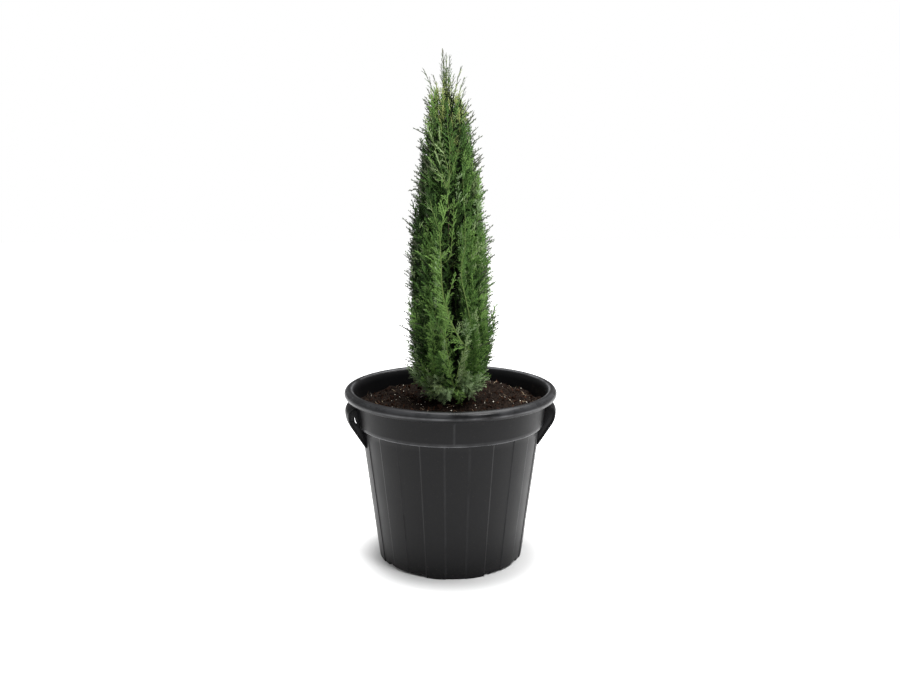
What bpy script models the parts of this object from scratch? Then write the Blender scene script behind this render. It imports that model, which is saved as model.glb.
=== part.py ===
"""Potted Italian cypress: a black moulded pot with two ear handles, its soil, a tapering trunk,
and a narrow crown of foliage masses carried on rising boughs.

Metres, +Z up. The origin is the centre of the pot's foot, on the ground. The front is -Y and the
handles lie on -X and +X. An angle round the pot is counted in degrees from the front towards +X.
"""

import math
import random

import bmesh
import bpy
import numpy as np
from mathutils import Vector

SEED = 23
GAP = 0.0003  # between two pieces that touch

# Pot wall, as radii and heights
FOOT_RADIUS = 0.138
BODY_SLOPE = 0.125  # how much the body's radius grows for each metre of height
STEP_HEIGHT = 0.259
COLLAR_FOOT_RADIUS = 0.177
COLLAR_TOP_RADIUS = 0.1833
COLLAR_TOP_HEIGHT = 0.308
BEAD_CENTRE_RADIUS = 0.1905
BEAD_CENTRE_HEIGHT = 0.317
BEAD_RADIUS = 0.0095
BEAD_ANGLES = (-90, -42, 0, 48, 112)  # degrees above the horizontal, round the bead
LIP_RADIUS = 0.1828
LIP_HEIGHT = 0.3205
WALL = 0.0026
FLOOR_HEIGHT = 0.0065

# Upright flutes in the body, and the arches between its four feet
PANEL_DEG = 15.0
FLUTE_DEPTH = 0.0013
EDGE_DEG = 0.35
ARCH_START_DEG = 22.5
ARCH_END_DEG = 60.0
ARCH_HEIGHT = 0.003
FOOT_INNER_RADIUS = 0.121
UNDERSIDE_RADIUS = 0.118

# Ear handles: two radial webs and a grip each, as radius and height
EAR_HALF_DEG = 16.0
WEB_THICKNESS = 0.0036
CORNER_RADIUS_AT = 0.1870
CORNER_HEIGHT = 0.2850
CORNER_ROUND = 0.0120
EAR_LEAN_DEG = 25.0
EAR_SHOULDER_DEG = 62.0
EAR_FOOT_HEIGHT = 0.2215
EAR_ROOT_RADIUS = 0.150
GRIP_LOW_HEIGHT = 0.2680
GRIP_THICKNESS = 0.0034
GRIP_STEPS = 6
FLANGE_WIDTH = 0.0080
SLOT_WIDTH = 0.0032
SLOT_LENGTH = 0.0170
SLOT_INSET = 0.0098  # from the ear's leaning edge to the middle of the slot
SLOT_HEIGHT = 0.2760
ENVELOPE_SEGMENTS = 96

# Soil
SOIL_HEIGHT = 0.2972  # where the trunk stands
SOIL_DIP = 0.0045  # how much lower the soil lies by the pot's wall
SOIL_ROUGHNESS = 0.0016
SOIL_SEGMENTS = 36
SOIL_FLAT_RADIUS = 0.015
SOIL_RINGS = (0.045, 0.090, 0.135)
INNER_FACET_SHRINK = math.cos(math.radians(PANEL_DEG / 4))

# Trunk
TRUNK_FOOT_HEIGHT = SOIL_HEIGHT + GAP
TRUNK_TIP_HEIGHT = 0.832
TRUNK_RADIUS = 0.0062
TRUNK_TIP_RADIUS = 0.0012
FLARE = 0.0036
FLARE_HEIGHT = 0.010
FLARE_LOBES = 3
FLARE_LOBE_DEPTH = 0.35
FLARE_RISES = (0.0, 0.004, 0.009, 0.018, 0.035)
TRUNK_SIDES = 8
TRUNK_STATIONS = 9
TRUNK_SWEEP = 0.002
TRUNK_FOOT_OFFSET = (0.008, 0.004)
PLANT_TOP = 0.9386
LEADER_LEAN = -0.015

# Crown outline: how far the tips reach from the crown's own centre line
CROWN_FOOT = 0.296
CROWN_REACH = 0.090
WIDEST_AT = 0.23  # share of the crown's height
OUTLINE_POWER = 0.52
CROWN_CENTRE_X = -0.001
CROWN_LEAN_SHARE = 0.6  # how much of the trunk's sideways sweep the crown follows
FOOT_DRAW_IN = 0.5  # how much narrower the crown is at its very foot
FOOT_DRAW_HEIGHT = 0.022

# Tiers of foliage masses: height of their middle, masses round the trunk, turn of the first one
TIERS = (
    (0.375, 5, 45.0),
    (0.515, 5, 41.0),
    (0.652, 4, -6.0),
    (0.780, 4, 38.0),
)
TIER_LENGTHS = (0.190, 0.240, 0.230, 0.225)
TIER_STAGGER = 0.060  # how much the masses of one tier step up round the trunk
SEAT_REACH = 0.56  # where a mass has its middle, as a share of the crown's radius
STEM_START_REACH = 0.24
STEM_BEND_REACH = 0.68
STEM_END_REACH = 0.74
LEADER_MASS_HEIGHT = 0.905
LEADER_THICKNESS = 0.6  # of its stem, as a share of a full bough's tip
HEIGHT_WEIGHT = 0.42  # makes each mass's own space taller than it is wide
SPACE_SLOPE = 1.3  # how steeply the wall between one mass and the next above rises outwards
SPACE_MARGIN = 0.0006
STEM_MARGIN = 0.003

# Boughs
BOUGH_RADIUS = 0.0027
BOUGH_TIP_RADIUS = 0.0018
BOUGH_THINNING = 1.2  # how fast boughs grow thinner with the crown's radius
BOUGH_RISE = 1.15  # metres up for each metre out
LOWEST_BOUGH = TRUNK_FOOT_HEIGHT + 0.006
LOWEST_STEM = TRUNK_FOOT_HEIGHT + 0.026
BOUGH_SAG = 0.12
BOUGH_BEND_SHARE = 0.35
BOUGH_SIDES = 5
BOUGH_STATIONS = 4

# Cores and sprays of the masses
CORE_SIDES = 8
CORE_STATIONS = 6
CORE_FILL = 0.94
CORE_RIB = 0.80  # how far in a core's hollows lie between its upright ribs
CORE_END = 0.40  # how much of the room the core's two ends take, as a share of its middle
CORE_LEAST = 0.0022
CORE_DEPTH = 0.010  # how far the core stays inside the crown's outline
CORE_CLEARANCE = 0.0022
LIMB_TRIALS = 12
LIMB_DRAW_IN = 0.85
CORE_TRIES = np.linspace(0.002, 0.060, 59)
STEM_SIDES = 4
STEM_SHARES = (0.0, 0.3, 0.65, 0.97, 1.0)
STEM_TAPER = 0.55
STEM_TIP_RADIUS = 0.0002
SPRAYS = (11, 11, 11, 10)
LEADER_SPRAYS = 9
SPRAY_LENGTH = 0.064
SPRAY_WIDTH = 0.0125
SPRAY_LEAN_DEG = (20.0, 34.0)  # away from the stem
SPRAY_FAN_DEG = 105.0  # either side of straight out from the trunk
SPRAY_ROLL_DEG = 38.0
SPRAY_BEND = (0.10, 0.22)
SPRAY_ROOT = 0.72  # where a spray is rooted, as a share of the core's reach
SPRAY_THICKNESS = 0.0011
SPRAY_TEETH = 2
TRIAL_SCALES = (1.0, 0.9, 0.8, 0.7, 0.6, 0.5)
LIMB_CLEARANCE = 0.0012
FACE_SAMPLES = 6
GOLDEN_SHARE = 0.6180339887

BLACK_PLASTIC = (0.022, 0.022, 0.024)
SOIL_BROWN = (0.060, 0.036, 0.022)
BARK_BROWN = (0.110, 0.068, 0.042)
LEAF_GREEN = (0.060, 0.135, 0.032)


def clear_scene():
    for thing in list(bpy.data.objects):
        bpy.data.objects.remove(thing, do_unlink=True)


def finish_material(name, colour, roughness):
    material = bpy.data.materials.new(name)
    material.use_nodes = True
    shader = material.node_tree.nodes["Principled BSDF"]
    shader.inputs["Base Color"].default_value = (*colour, 1.0)
    shader.inputs["Roughness"].default_value = roughness
    shader.inputs["Metallic"].default_value = 0.0
    return material


def make_object(name, points, faces, material=None, crease_deg=None):
    """A closed mesh object, its faces turned outwards."""
    mesh = bpy.data.meshes.new(name)
    mesh.from_pydata([tuple(point) for point in points], [], faces)
    shape = bmesh.new()
    shape.from_mesh(mesh)
    bmesh.ops.recalc_face_normals(shape, faces=shape.faces)
    shape.to_mesh(mesh)
    shape.free()
    if crease_deg is not None:
        mesh.shade_smooth()
        mesh.set_sharp_from_angle(angle=math.radians(crease_deg))
    thing = bpy.data.objects.new(name, mesh)
    bpy.context.scene.collection.objects.link(thing)
    if material:
        mesh.materials.append(material)
    return thing


def applied(thing):
    """Turns what the modifiers make of an object into its plain mesh."""
    graph = bpy.context.evaluated_depsgraph_get()
    mesh = bpy.data.meshes.new_from_object(thing.evaluated_get(graph))
    thing.modifiers.clear()
    thing.data = mesh
    return thing


def join_all(thing, others):
    """One Boolean union of an object with a collection of others, which are then removed."""
    group = bpy.data.collections.new(thing.name + "_pieces")
    bpy.context.scene.collection.children.link(group)
    for other in others:
        bpy.context.scene.collection.objects.unlink(other)
        group.objects.link(other)
    union = thing.modifiers.new("union", "BOOLEAN")
    union.operation = "UNION"
    union.operand_type = "COLLECTION"
    union.solver = "EXACT"
    union.collection = group
    applied(thing)
    for other in others:
        bpy.data.objects.remove(other, do_unlink=True)
    bpy.data.collections.remove(group)
    return thing


def cut_away(thing, cutter):
    difference = thing.modifiers.new("cut", "BOOLEAN")
    difference.operation = "DIFFERENCE"
    difference.object = cutter
    applied(thing)
    bpy.data.objects.remove(cutter, do_unlink=True)
    return thing


def keep_main_shell(thing):
    """Drops loose scraps, and the inner walls of hollows that the union sealed."""
    mesh = thing.data
    shell_of = list(range(len(mesh.vertices)))

    def top(index):
        while shell_of[index] != index:
            shell_of[index] = shell_of[shell_of[index]]
            index = shell_of[index]
        return index

    for edge in mesh.edges:
        first, second = (top(index) for index in edge.vertices)
        shell_of[first] = second
    volumes = {}
    for face in mesh.polygons:
        corners = [mesh.vertices[index].co for index in face.vertices]
        share = sum(corners[0].dot(b.cross(c)) for b, c in zip(corners[1:], corners[2:]))
        shell = top(face.vertices[0])
        volumes[shell] = volumes.get(shell, 0.0) + share
    main = max(volumes, key=volumes.get)
    kept = [face for face in mesh.polygons if top(face.vertices[0]) == main]
    used = sorted({index for face in kept for index in face.vertices})
    place = {index: number for number, index in enumerate(used)}
    points = [mesh.vertices[index].co.copy() for index in used]
    faces = [[place[index] for index in face.vertices] for face in kept]
    material = mesh.materials[0] if mesh.materials else None
    new_mesh = bpy.data.meshes.new(thing.name)
    new_mesh.from_pydata(points, [], faces)
    if material:
        new_mesh.materials.append(material)
    thing.data = new_mesh
    return thing


def lofted(rings):
    """Points and faces of a closed shape through rings of equal size, from foot to top."""
    count = len(rings[0])
    points = [point for ring in rings for point in ring]
    faces = [list(reversed(range(count)))]
    for row in range(len(rings) - 1):
        for side in range(count):
            low = row * count + side
            low_next = row * count + (side + 1) % count
            faces.append([low, low_next, low_next + count, low + count])
    faces.append([(len(rings) - 1) * count + side for side in range(count)])
    return points, faces


def round_point(radius, degrees, height):
    """The point at an angle from the front, counted towards +X."""
    turn = math.radians(degrees)
    return (radius * math.sin(turn), -radius * math.cos(turn), height)


# Pot


def folded(degrees):
    """The angle from the nearer of front and back, from 0 to 90."""
    wrapped = abs((degrees + 180.0) % 360.0 - 180.0)
    return min(wrapped, 180.0 - wrapped)


def flute_at(degrees):
    is_sunk = (degrees + PANEL_DEG / 2) % (2 * PANEL_DEG) < PANEL_DEG
    return FLUTE_DEPTH if is_sunk else 0.0


def foot_at(degrees):
    return ARCH_HEIGHT if ARCH_START_DEG < folded(degrees) < ARCH_END_DEG else 0.0


def wall_angles():
    """Angles of the wall's upright edges: both sides of each flute's edge, and each panel's middle."""
    angles = []
    for panel in range(round(360 / PANEL_DEG)):
        middle = panel * PANEL_DEG
        if abs(folded(middle) - ARCH_END_DEG) < EDGE_DEG:
            angles += [middle - EDGE_DEG, middle + EDGE_DEG]
        else:
            angles.append(middle)
        edge = middle + PANEL_DEG / 2
        angles += [edge - EDGE_DEG, edge + EDGE_DEG]
    return angles


def body_radius(height):
    return FOOT_RADIUS + BODY_SLOPE * height


def outer_outline(grow=0.0):
    """Radius and height up the outside, from the top of the body to the bead."""
    outline = [
        (body_radius(STEP_HEIGHT) + grow, STEP_HEIGHT - grow),
        (COLLAR_FOOT_RADIUS + grow, STEP_HEIGHT - grow),
        (COLLAR_TOP_RADIUS + grow, COLLAR_TOP_HEIGHT - grow),
    ]
    for degrees in BEAD_ANGLES:
        turn = math.radians(degrees)
        reach = BEAD_RADIUS + grow
        outline.append(
            (BEAD_CENTRE_RADIUS + reach * math.cos(turn), BEAD_CENTRE_HEIGHT + reach * math.sin(turn))
        )
    return outline


def make_pot(material):
    angles = wall_angles()
    rings = [
        [round_point(UNDERSIDE_RADIUS, a, ARCH_HEIGHT) for a in angles],
        [round_point(FOOT_INNER_RADIUS, a, foot_at(a)) for a in angles],
        [round_point(FOOT_RADIUS - flute_at(a), a, foot_at(a)) for a in angles],
    ]
    body_top, *upper = outer_outline()
    rings.append([round_point(body_top[0] - flute_at(a), a, body_top[1]) for a in angles])
    inner_body_top = body_radius(STEP_HEIGHT) - FLUTE_DEPTH - WALL
    inner_foot = FOOT_RADIUS - FLUTE_DEPTH - WALL
    upper += [
        (LIP_RADIUS, LIP_HEIGHT),
        (COLLAR_TOP_RADIUS - WALL, LIP_HEIGHT - WALL),
        (COLLAR_FOOT_RADIUS - WALL, STEP_HEIGHT + WALL / 2),
        (inner_body_top, STEP_HEIGHT - WALL),
        (inner_foot, FLOOR_HEIGHT),
    ]
    for radius, height in upper:
        rings.append([round_point(radius, a, height) for a in angles])
    points, faces = lofted(rings)
    return make_object("pot", points, faces, material, crease_deg=32)


def pot_envelope(name, segments):
    """The outside of the pot grown by the gap, closed on top, to trim what touches the pot."""
    outline = [(body_radius(-0.01) + GAP, -0.01), *outer_outline(GAP)]
    outline.append((BEAD_CENTRE_RADIUS, BEAD_CENTRE_HEIGHT + 3 * BEAD_RADIUS))
    spread = 1 / math.cos(math.pi / segments)
    angles = [360.0 * step / segments for step in range(segments)]
    rings = [[round_point(r * spread, a, z) for a in angles] for r, z in outline]
    return make_object(name, *lofted(rings))


# Ear handles


def ear_edge(height, inset=0.0):
    """Radius of the ear's leaning edge at a height, moved in square to it by a thickness."""
    lean = math.radians(EAR_LEAN_DEG)
    reach = CORNER_ROUND - inset
    start_radius = CORNER_RADIUS_AT + reach * math.cos(lean)
    start_height = CORNER_HEIGHT - reach * math.sin(lean)
    return start_radius + (height - start_height) * math.tan(lean)


def ear_path(lowest, inset):
    """Up the ear's leaning edge, round its corner and along its sloping top to the wall."""
    path = [(ear_edge(lowest, inset), lowest)]
    reach = CORNER_ROUND - inset
    for step in range(4):
        turn = math.radians(-EAR_LEAN_DEG + (EAR_SHOULDER_DEG + EAR_LEAN_DEG) * step / 3)
        path.append((CORNER_RADIUS_AT + reach * math.cos(turn), CORNER_HEIGHT + reach * math.sin(turn)))
    radius, height = path[-1]
    run = radius - (COLLAR_TOP_RADIUS - 0.006)
    path.append((radius - run, height + run / math.tan(math.radians(EAR_SHOULDER_DEG))))
    return path


def band_outline(lowest):
    return ear_path(lowest, 0.0) + ear_path(lowest, GRIP_THICKNESS)[::-1]


def radial_plate(name, outline, thickness, degrees):
    """A flat outline in radius and height, as a plate of even thickness at an angle from +X."""
    turn = math.radians(degrees)
    rings = []
    for off in (-thickness / 2, thickness / 2):
        ring = []
        for radius, height in outline:
            x = radius * math.cos(turn) - off * math.sin(turn)
            y = radius * math.sin(turn) + off * math.cos(turn)
            ring.append((x, y, height))
        rings.append(ring)
    return make_object(name, *lofted(rings))


def swept_band(name, outline, half_deg, steps):
    """The same outline turned about the pot's axis, from one web to the other."""
    rings = []
    for step in range(steps + 1):
        turn = math.radians(half_deg * (2 * step / steps - 1))
        rings.append([(r * math.cos(turn), r * math.sin(turn), z) for r, z in outline])
    return make_object(name, *lofted(rings))


def slot_outline():
    """A slanted slot beside the wall, in line with the ear's leaning edge."""
    low, high = SLOT_HEIGHT - SLOT_LENGTH / 2, SLOT_HEIGHT + SLOT_LENGTH / 2
    inner, outer = SLOT_INSET + SLOT_WIDTH / 2, SLOT_INSET - SLOT_WIDTH / 2
    return [
        (ear_edge(low, inner), low),
        (ear_edge(low, outer), low),
        (ear_edge(high, outer), high),
        (ear_edge(high, inner), high),
    ]


def make_handle(name, side, material):
    handle = swept_band(name, band_outline(GRIP_LOW_HEIGHT), EAR_HALF_DEG, GRIP_STEPS)
    others = []
    for degrees in (-EAR_HALF_DEG, EAR_HALF_DEG):
        root = [(EAR_ROOT_RADIUS, CORNER_HEIGHT), (EAR_ROOT_RADIUS, EAR_FOOT_HEIGHT)]
        web = ear_path(EAR_FOOT_HEIGHT, GRIP_THICKNESS / 2) + root
        others.append(radial_plate(f"{name}_web", web, WEB_THICKNESS, degrees))
        flange = band_outline(EAR_FOOT_HEIGHT + 0.001)
        others.append(radial_plate(f"{name}_flange", flange, FLANGE_WIDTH, degrees))
    join_all(handle, others)
    for degrees in (-EAR_HALF_DEG, EAR_HALF_DEG):
        slot = radial_plate(f"{name}_slot", slot_outline(), 4 * WEB_THICKNESS, degrees)
        cut_away(handle, slot)
    cut_away(handle, pot_envelope(f"{name}_wall", ENVELOPE_SEGMENTS))
    keep_main_shell(handle)
    if side < 0:
        for vertex in handle.data.vertices:
            vertex.co.x = -vertex.co.x
            vertex.co.y = -vertex.co.y
    handle.data.materials.clear()
    handle.data.materials.append(material)
    return handle


# Soil


def make_soil(material):
    chance = random.Random(SEED)
    angles = [360.0 * step / SOIL_SEGMENTS for step in range(SOIL_SEGMENTS)]

    def fitted(radius):
        return radius * INNER_FACET_SHRINK - GAP

    inner_foot = fitted(FOOT_RADIUS - FLUTE_DEPTH - WALL)
    inner_top = fitted(body_radius(STEP_HEIGHT) - FLUTE_DEPTH - WALL)
    collar_foot = fitted(COLLAR_FOOT_RADIUS - WALL)
    edge_height = SOIL_HEIGHT - SOIL_DIP
    share = (edge_height - STEP_HEIGHT) / (LIP_HEIGHT - STEP_HEIGHT)
    edge = fitted(COLLAR_FOOT_RADIUS - WALL + share * (COLLAR_TOP_RADIUS - COLLAR_FOOT_RADIUS))
    edge -= GAP
    step = STEP_HEIGHT - WALL
    rings = [
        [round_point(inner_foot, a, FLOOR_HEIGHT + GAP) for a in angles],
        [round_point(inner_top, a, step) for a in angles],
        [round_point(collar_foot, a, STEP_HEIGHT + WALL) for a in angles],
        [round_point(edge, a, edge_height + chance.uniform(-1, 1) * SOIL_ROUGHNESS) for a in angles],
    ]
    for radius in reversed(SOIL_RINGS):
        height = SOIL_HEIGHT - SOIL_DIP * (radius / edge) ** 2
        ring = []
        for a in angles:
            lift = chance.uniform(-1, 1) * SOIL_ROUGHNESS
            ring.append(round_point(radius, a, height + lift))
        rings.append(ring)
    rings.append([round_point(SOIL_FLAT_RADIUS, a, SOIL_HEIGHT) for a in angles])
    points, faces = lofted(rings)
    return make_object("soil", points, faces, material, crease_deg=60)


# Trunk and boughs


def crown_share(height):
    return (height - TRUNK_FOOT_HEIGHT) / (PLANT_TOP - TRUNK_FOOT_HEIGHT)


def trunk_centre(height):
    """The trunk's slight lean and sweep: off centre at the foot, its leader bent the other way."""
    share = min(max(crown_share(height), 0.0), 1.0)
    foot = (1 - share) ** 2
    x = TRUNK_FOOT_OFFSET[0] * foot + LEADER_LEAN * share**4
    y = TRUNK_FOOT_OFFSET[1] * foot + TRUNK_SWEEP * math.sin(math.pi * share)
    return Vector((x, y, height))


def trunk_radius(height):
    share = (height - TRUNK_FOOT_HEIGHT) / (TRUNK_TIP_HEIGHT - TRUNK_FOOT_HEIGHT)
    return TRUNK_TIP_RADIUS + (TRUNK_RADIUS - TRUNK_TIP_RADIUS) * max(0.0, 1 - share) ** 0.9


def trunk_rings(grow=0.0):
    length = TRUNK_TIP_HEIGHT - TRUNK_FOOT_HEIGHT
    rises = [*FLARE_RISES, *(length * (step + 1) / TRUNK_STATIONS for step in range(TRUNK_STATIONS))]
    rings = []
    for rise in rises:
        centre = trunk_centre(TRUNK_FOOT_HEIGHT + rise)
        flare = FLARE * math.exp(-rise / FLARE_HEIGHT)
        ring = []
        for side in range(TRUNK_SIDES):
            turn = 2 * math.pi * side / TRUNK_SIDES
            lobes = 1 + FLARE_LOBE_DEPTH * math.cos(FLARE_LOBES * turn)
            radius = trunk_radius(centre.z) + flare * lobes + grow
            ring.append(centre + radius * Vector((math.cos(turn), math.sin(turn), 0)))
        rings.append(ring)
    return rings


def make_trunk(material):
    points, faces = lofted(trunk_rings())
    return make_object("trunk", points, faces, material, crease_deg=60)


def curve_point(start, bend, end, share):
    return (1 - share) ** 2 * start + 2 * share * (1 - share) * bend + share**2 * end


def tube_rings(centres, radii, sides, first=None, last=None):
    """Rings square to a path, or to a given direction at its ends, with as little twist as can be."""
    rings = []
    across = None
    for index, centre in enumerate(centres):
        ahead = centres[min(index + 1, len(centres) - 1)] - centres[max(index - 1, 0)]
        if first and index == 0:
            ahead = first.copy()
        if last and index == len(centres) - 1:
            ahead = last.copy()
        ahead.normalize()
        if across is None:
            across = ahead.orthogonal().normalized()
        across = (across - ahead * across.dot(ahead)).normalized()
        other = ahead.cross(across)
        ring = []
        for side in range(sides):
            turn = 2 * math.pi * side / sides
            ring.append(centre + radii[index] * (math.cos(turn) * across + math.sin(turn) * other))
        rings.append(ring)
    return rings


# Crown


def crown_centre_x(height):
    return CROWN_CENTRE_X + CROWN_LEAN_SHARE * (trunk_centre(height).x - 0.3 * TRUNK_FOOT_OFFSET[0])


def crown_radius(height):
    """How far the tips reach at a height: a slim flame, drawn in at the foot."""
    share = (height - CROWN_FOOT) / (PLANT_TOP - CROWN_FOOT)
    if not 0.0 < share < 1.0:
        return 0.0
    body = (share / WIDEST_AT) ** (WIDEST_AT / (1 - WIDEST_AT)) * (1 - share) / (1 - WIDEST_AT)
    foot = 1 - FOOT_DRAW_IN * math.exp(-(height - CROWN_FOOT) / FOOT_DRAW_HEIGHT)
    return CROWN_REACH * body**OUTLINE_POWER * foot


def crown_point(reach_share, degrees, height):
    radius = reach_share * crown_radius(height)
    x, y, z = round_point(radius, degrees, height)
    return Vector((x + crown_centre_x(height), y, z))


class Mass:
    """One mass of foliage: its seat in the crown, its stem's path and the bough that carries it."""

    def __init__(self, name, degrees, middle, length, sprays):
        self.name = name
        self.degrees = degrees
        self.sprays = sprays
        low = max(middle - 0.5 * length, LOWEST_STEM)
        self.seat = crown_point(SEAT_REACH, degrees, middle)
        self.path = (
            crown_point(STEM_START_REACH, degrees, low),
            crown_point(STEM_BEND_REACH, degrees, middle - 0.1 * length),
            crown_point(STEM_END_REACH, degrees, middle + 0.5 * length),
        )
        self.span = (0.0, 1.0)
        self.thickness = (crown_radius(middle) / CROWN_REACH) ** BOUGH_THINNING

    def outward(self):
        turn = math.radians(self.degrees)
        return (math.sin(turn), -math.cos(turn))

    def stem_point(self, share):
        low, high = self.span
        return curve_point(*self.path, low + share * (high - low))

    def stem_ahead(self, share):
        return (self.stem_point(share + 0.02) - self.stem_point(share - 0.02)).normalized()

    def bough_centres(self):
        tip = self.stem_point(0.0)
        run = math.hypot(tip.x, tip.y)
        root = trunk_centre(max(tip.z - BOUGH_RISE * run, LOWEST_BOUGH))
        bend = tip.lerp(root, BOUGH_BEND_SHARE)
        bend.z -= BOUGH_SAG * (tip.z - root.z)
        steps = [step / (BOUGH_STATIONS - 1) for step in range(BOUGH_STATIONS)]
        return [curve_point(root, bend, tip, step) for step in steps]

    def bough_radii(self):
        spread = BOUGH_RADIUS - BOUGH_TIP_RADIUS
        steps = [step / (BOUGH_STATIONS - 1) for step in range(BOUGH_STATIONS)]
        return [self.thickness * (BOUGH_RADIUS - spread * step) for step in steps]


class LeaderMass(Mass):
    """The foliage round the leader: its stem carries on from the trunk's tip to the plant's top."""

    def __init__(self, name, sprays):
        self.name = name
        self.degrees = 0.0
        self.sprays = sprays
        self.seat = trunk_centre(LEADER_MASS_HEIGHT)
        middle = (TRUNK_TIP_HEIGHT + PLANT_TOP) / 2
        self.path = tuple(trunk_centre(height) for height in (TRUNK_TIP_HEIGHT, middle, PLANT_TOP))
        self.span = (0.0, 1.0)
        self.thickness = LEADER_THICKNESS

    def outward(self):
        return (0.0, 0.0)


def plan_masses():
    masses = []
    for tier, (tier_middle, count, turn) in enumerate(TIERS):
        for number in range(count):
            degrees = turn + 360.0 * number / count
            step = (2 * number % count) / count - 0.5
            middle = tier_middle + TIER_STAGGER * step
            name = f"foliage_{tier + 1}_{number + 1}"
            masses.append(Mass(name, degrees, middle, TIER_LENGTHS[tier], SPRAYS[tier]))
    masses.append(LeaderMass("foliage_leader", LEADER_SPRAYS))
    return masses


def segment_distance(points, start, end):
    """Distances of many points from one straight stretch, and where along it each lies nearest."""
    along = np.array(end - start)
    share = np.clip((points - np.array(start)) @ along / (along @ along), 0.0, 1.0)
    nearest = np.array(start) + share[:, None] * along
    return np.linalg.norm(points - nearest, axis=1), share


class Crown:
    """Tells how much room a point has: to the other masses' spaces, the limbs and the outline."""

    def __init__(self, masses):
        self.seats = np.array([mass.seat for mass in masses])
        self.outwards = np.array([mass.outward() for mass in masses])
        for index, mass in enumerate(masses[:-1]):
            mass.span = self.stem_span(index, mass)
        self.limbs = []
        heights = np.linspace(TRUNK_FOOT_HEIGHT, TRUNK_TIP_HEIGHT, 2 * TRUNK_STATIONS + 1)
        for low, high in zip(heights, heights[1:]):
            ends = (trunk_centre(low), trunk_centre(high))
            flare = FLARE * math.exp(-(low - TRUNK_FOOT_HEIGHT) / FLARE_HEIGHT)
            flare *= 1 + FLARE_LOBE_DEPTH
            self.limbs.append((*ends, trunk_radius(low) + flare, trunk_radius(high)))
        for mass in masses[:-1]:
            centres, radii = mass.bough_centres(), mass.bough_radii()
            for index in range(len(centres) - 1):
                self.limbs.append((centres[index], centres[index + 1], radii[index], radii[index + 1]))

    def space_room(self, index, points):
        """Distance to the nearest wall between this mass's space and a neighbour's."""
        seat = self.seats[index]
        room = np.full(len(points), 1.0)
        for number, other in enumerate(self.seats):
            if number == index:
                continue
            outward = self.outwards[index] + self.outwards[number]
            outward /= max(1.0, np.linalg.norm(outward))
            lift = HEIGHT_WEIGHT * np.array([*(-SPACE_SLOPE * outward), 1.0])
            apart = other - seat
            wall = np.array([apart[0], apart[1], 0.0]) + lift * (lift @ apart)
            reach = (0.5 * apart - (points - seat)) @ wall
            room = np.minimum(room, reach / np.linalg.norm(wall))
        return room - SPACE_MARGIN

    def stem_span(self, index, mass):
        """The stretch of a stem's path that lies inside its mass's own space, as two shares."""
        shares = np.linspace(0.0, 1.0, 101)
        path = np.array([curve_point(*mass.path, share) for share in shares])
        inside = shares[self.space_room(index, path) > STEM_MARGIN]
        return float(inside[0]), float(inside[-1])

    def limb_room(self, points):
        room = np.full(len(points), 1.0)
        for start, end, start_radius, end_radius in self.limbs:
            distance, share = segment_distance(points, start, end)
            radius = start_radius + share * (end_radius - start_radius)
            room = np.minimum(room, distance - radius)
        return room

    def outline_room(self, points):
        room = []
        for x, y, z in points:
            reach = math.hypot(x - crown_centre_x(z), y)
            room.append(crown_radius(z) - reach)
        return np.array(room)


def make_bough(mass, material):
    centres, radii = mass.bough_centres(), mass.bough_radii()
    name = mass.name.replace("foliage", "bough")
    rings = tube_rings(centres, radii, BOUGH_SIDES, last=mass.stem_ahead(0.0))
    bough = make_object(name, *lofted(rings), material)
    cutter = make_object(f"{name}_cutter", *lofted(trunk_rings(GAP / math.cos(math.pi / TRUNK_SIDES))))
    cut_away(bough, cutter)
    return keep_main_shell(bough)


def open_reach(index, crown, centre, outward):
    """How far the core may go from its stem in one direction."""
    line = np.array([centre + outward * reach for reach in CORE_TRIES])
    room = np.minimum(crown.space_room(index, line), crown.outline_room(line) - CORE_DEPTH)
    room = np.minimum(room, crown.limb_room(line) - CORE_CLEARANCE)
    blocked = np.nonzero(room < 0)[0]
    return CORE_TRIES[max(blocked[0] - 1, 0)] if len(blocked) else CORE_TRIES[-1]


def core_shape(index, mass, crown):
    """The dense middle of a mass: level rings round its stem, ribbed like plumes side by side."""
    rings = []
    for station in range(CORE_STATIONS):
        along = station / (CORE_STATIONS - 1)
        centre = mass.stem_point(0.04 + 0.90 * along)
        swell = CORE_END + (1 - CORE_END) * math.sin(math.pi * (0.10 + 0.82 * along)) ** 0.5
        ring = []
        for side in range(CORE_SIDES):
            turn = 2 * math.pi * side / CORE_SIDES
            outward = Vector((math.cos(turn), math.sin(turn), 0))
            fill = CORE_FILL * swell * (CORE_RIB if side % 2 else 1.0)
            ring.append(centre + outward * max(CORE_LEAST, fill * open_reach(index, crown, centre, outward)))
        rings.append((centre, ring))
    return clear_of_limbs(rings, crown)


def clear_of_limbs(rings, crown):
    """Draws in the corners of those faces that come too near a limb."""
    for attempt in range(LIMB_TRIALS):
        points, faces = lofted([ring for centre, ring in rings])
        corners = np.array(points)
        near = set()
        for face in faces[1:-1]:
            a, b, c, d = (corners[index] for index in face)
            samples = spread_over(np.array([[a, b, c], [a, c, d], [a, b, d], [b, c, d]]))
            if crown.limb_room(samples).min() < 0.5 * CORE_CLEARANCE:
                near.update(face)
        if not near:
            break
        for index in near:
            centre, ring = rings[index // CORE_SIDES]
            point = ring[index % CORE_SIDES]
            reach = max(CORE_LEAST, LIMB_DRAW_IN * (point - centre).length)
            ring[index % CORE_SIDES] = centre + (point - centre).normalized() * reach
    return points, faces


def spray_outline():
    """Half of a spray's outline, from its root to its tip, as shares of its length and width."""
    half = [(0.0, 0.12)]
    for tooth in range(SPRAY_TEETH):
        place = (tooth + 1) / (SPRAY_TEETH + 1)
        half.append((place + 0.14, 1.0 - 0.26 * tooth))
        half.append((place + 0.03, 0.30 - 0.08 * tooth))
    half.append((1.0, 0.0))
    return half


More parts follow.
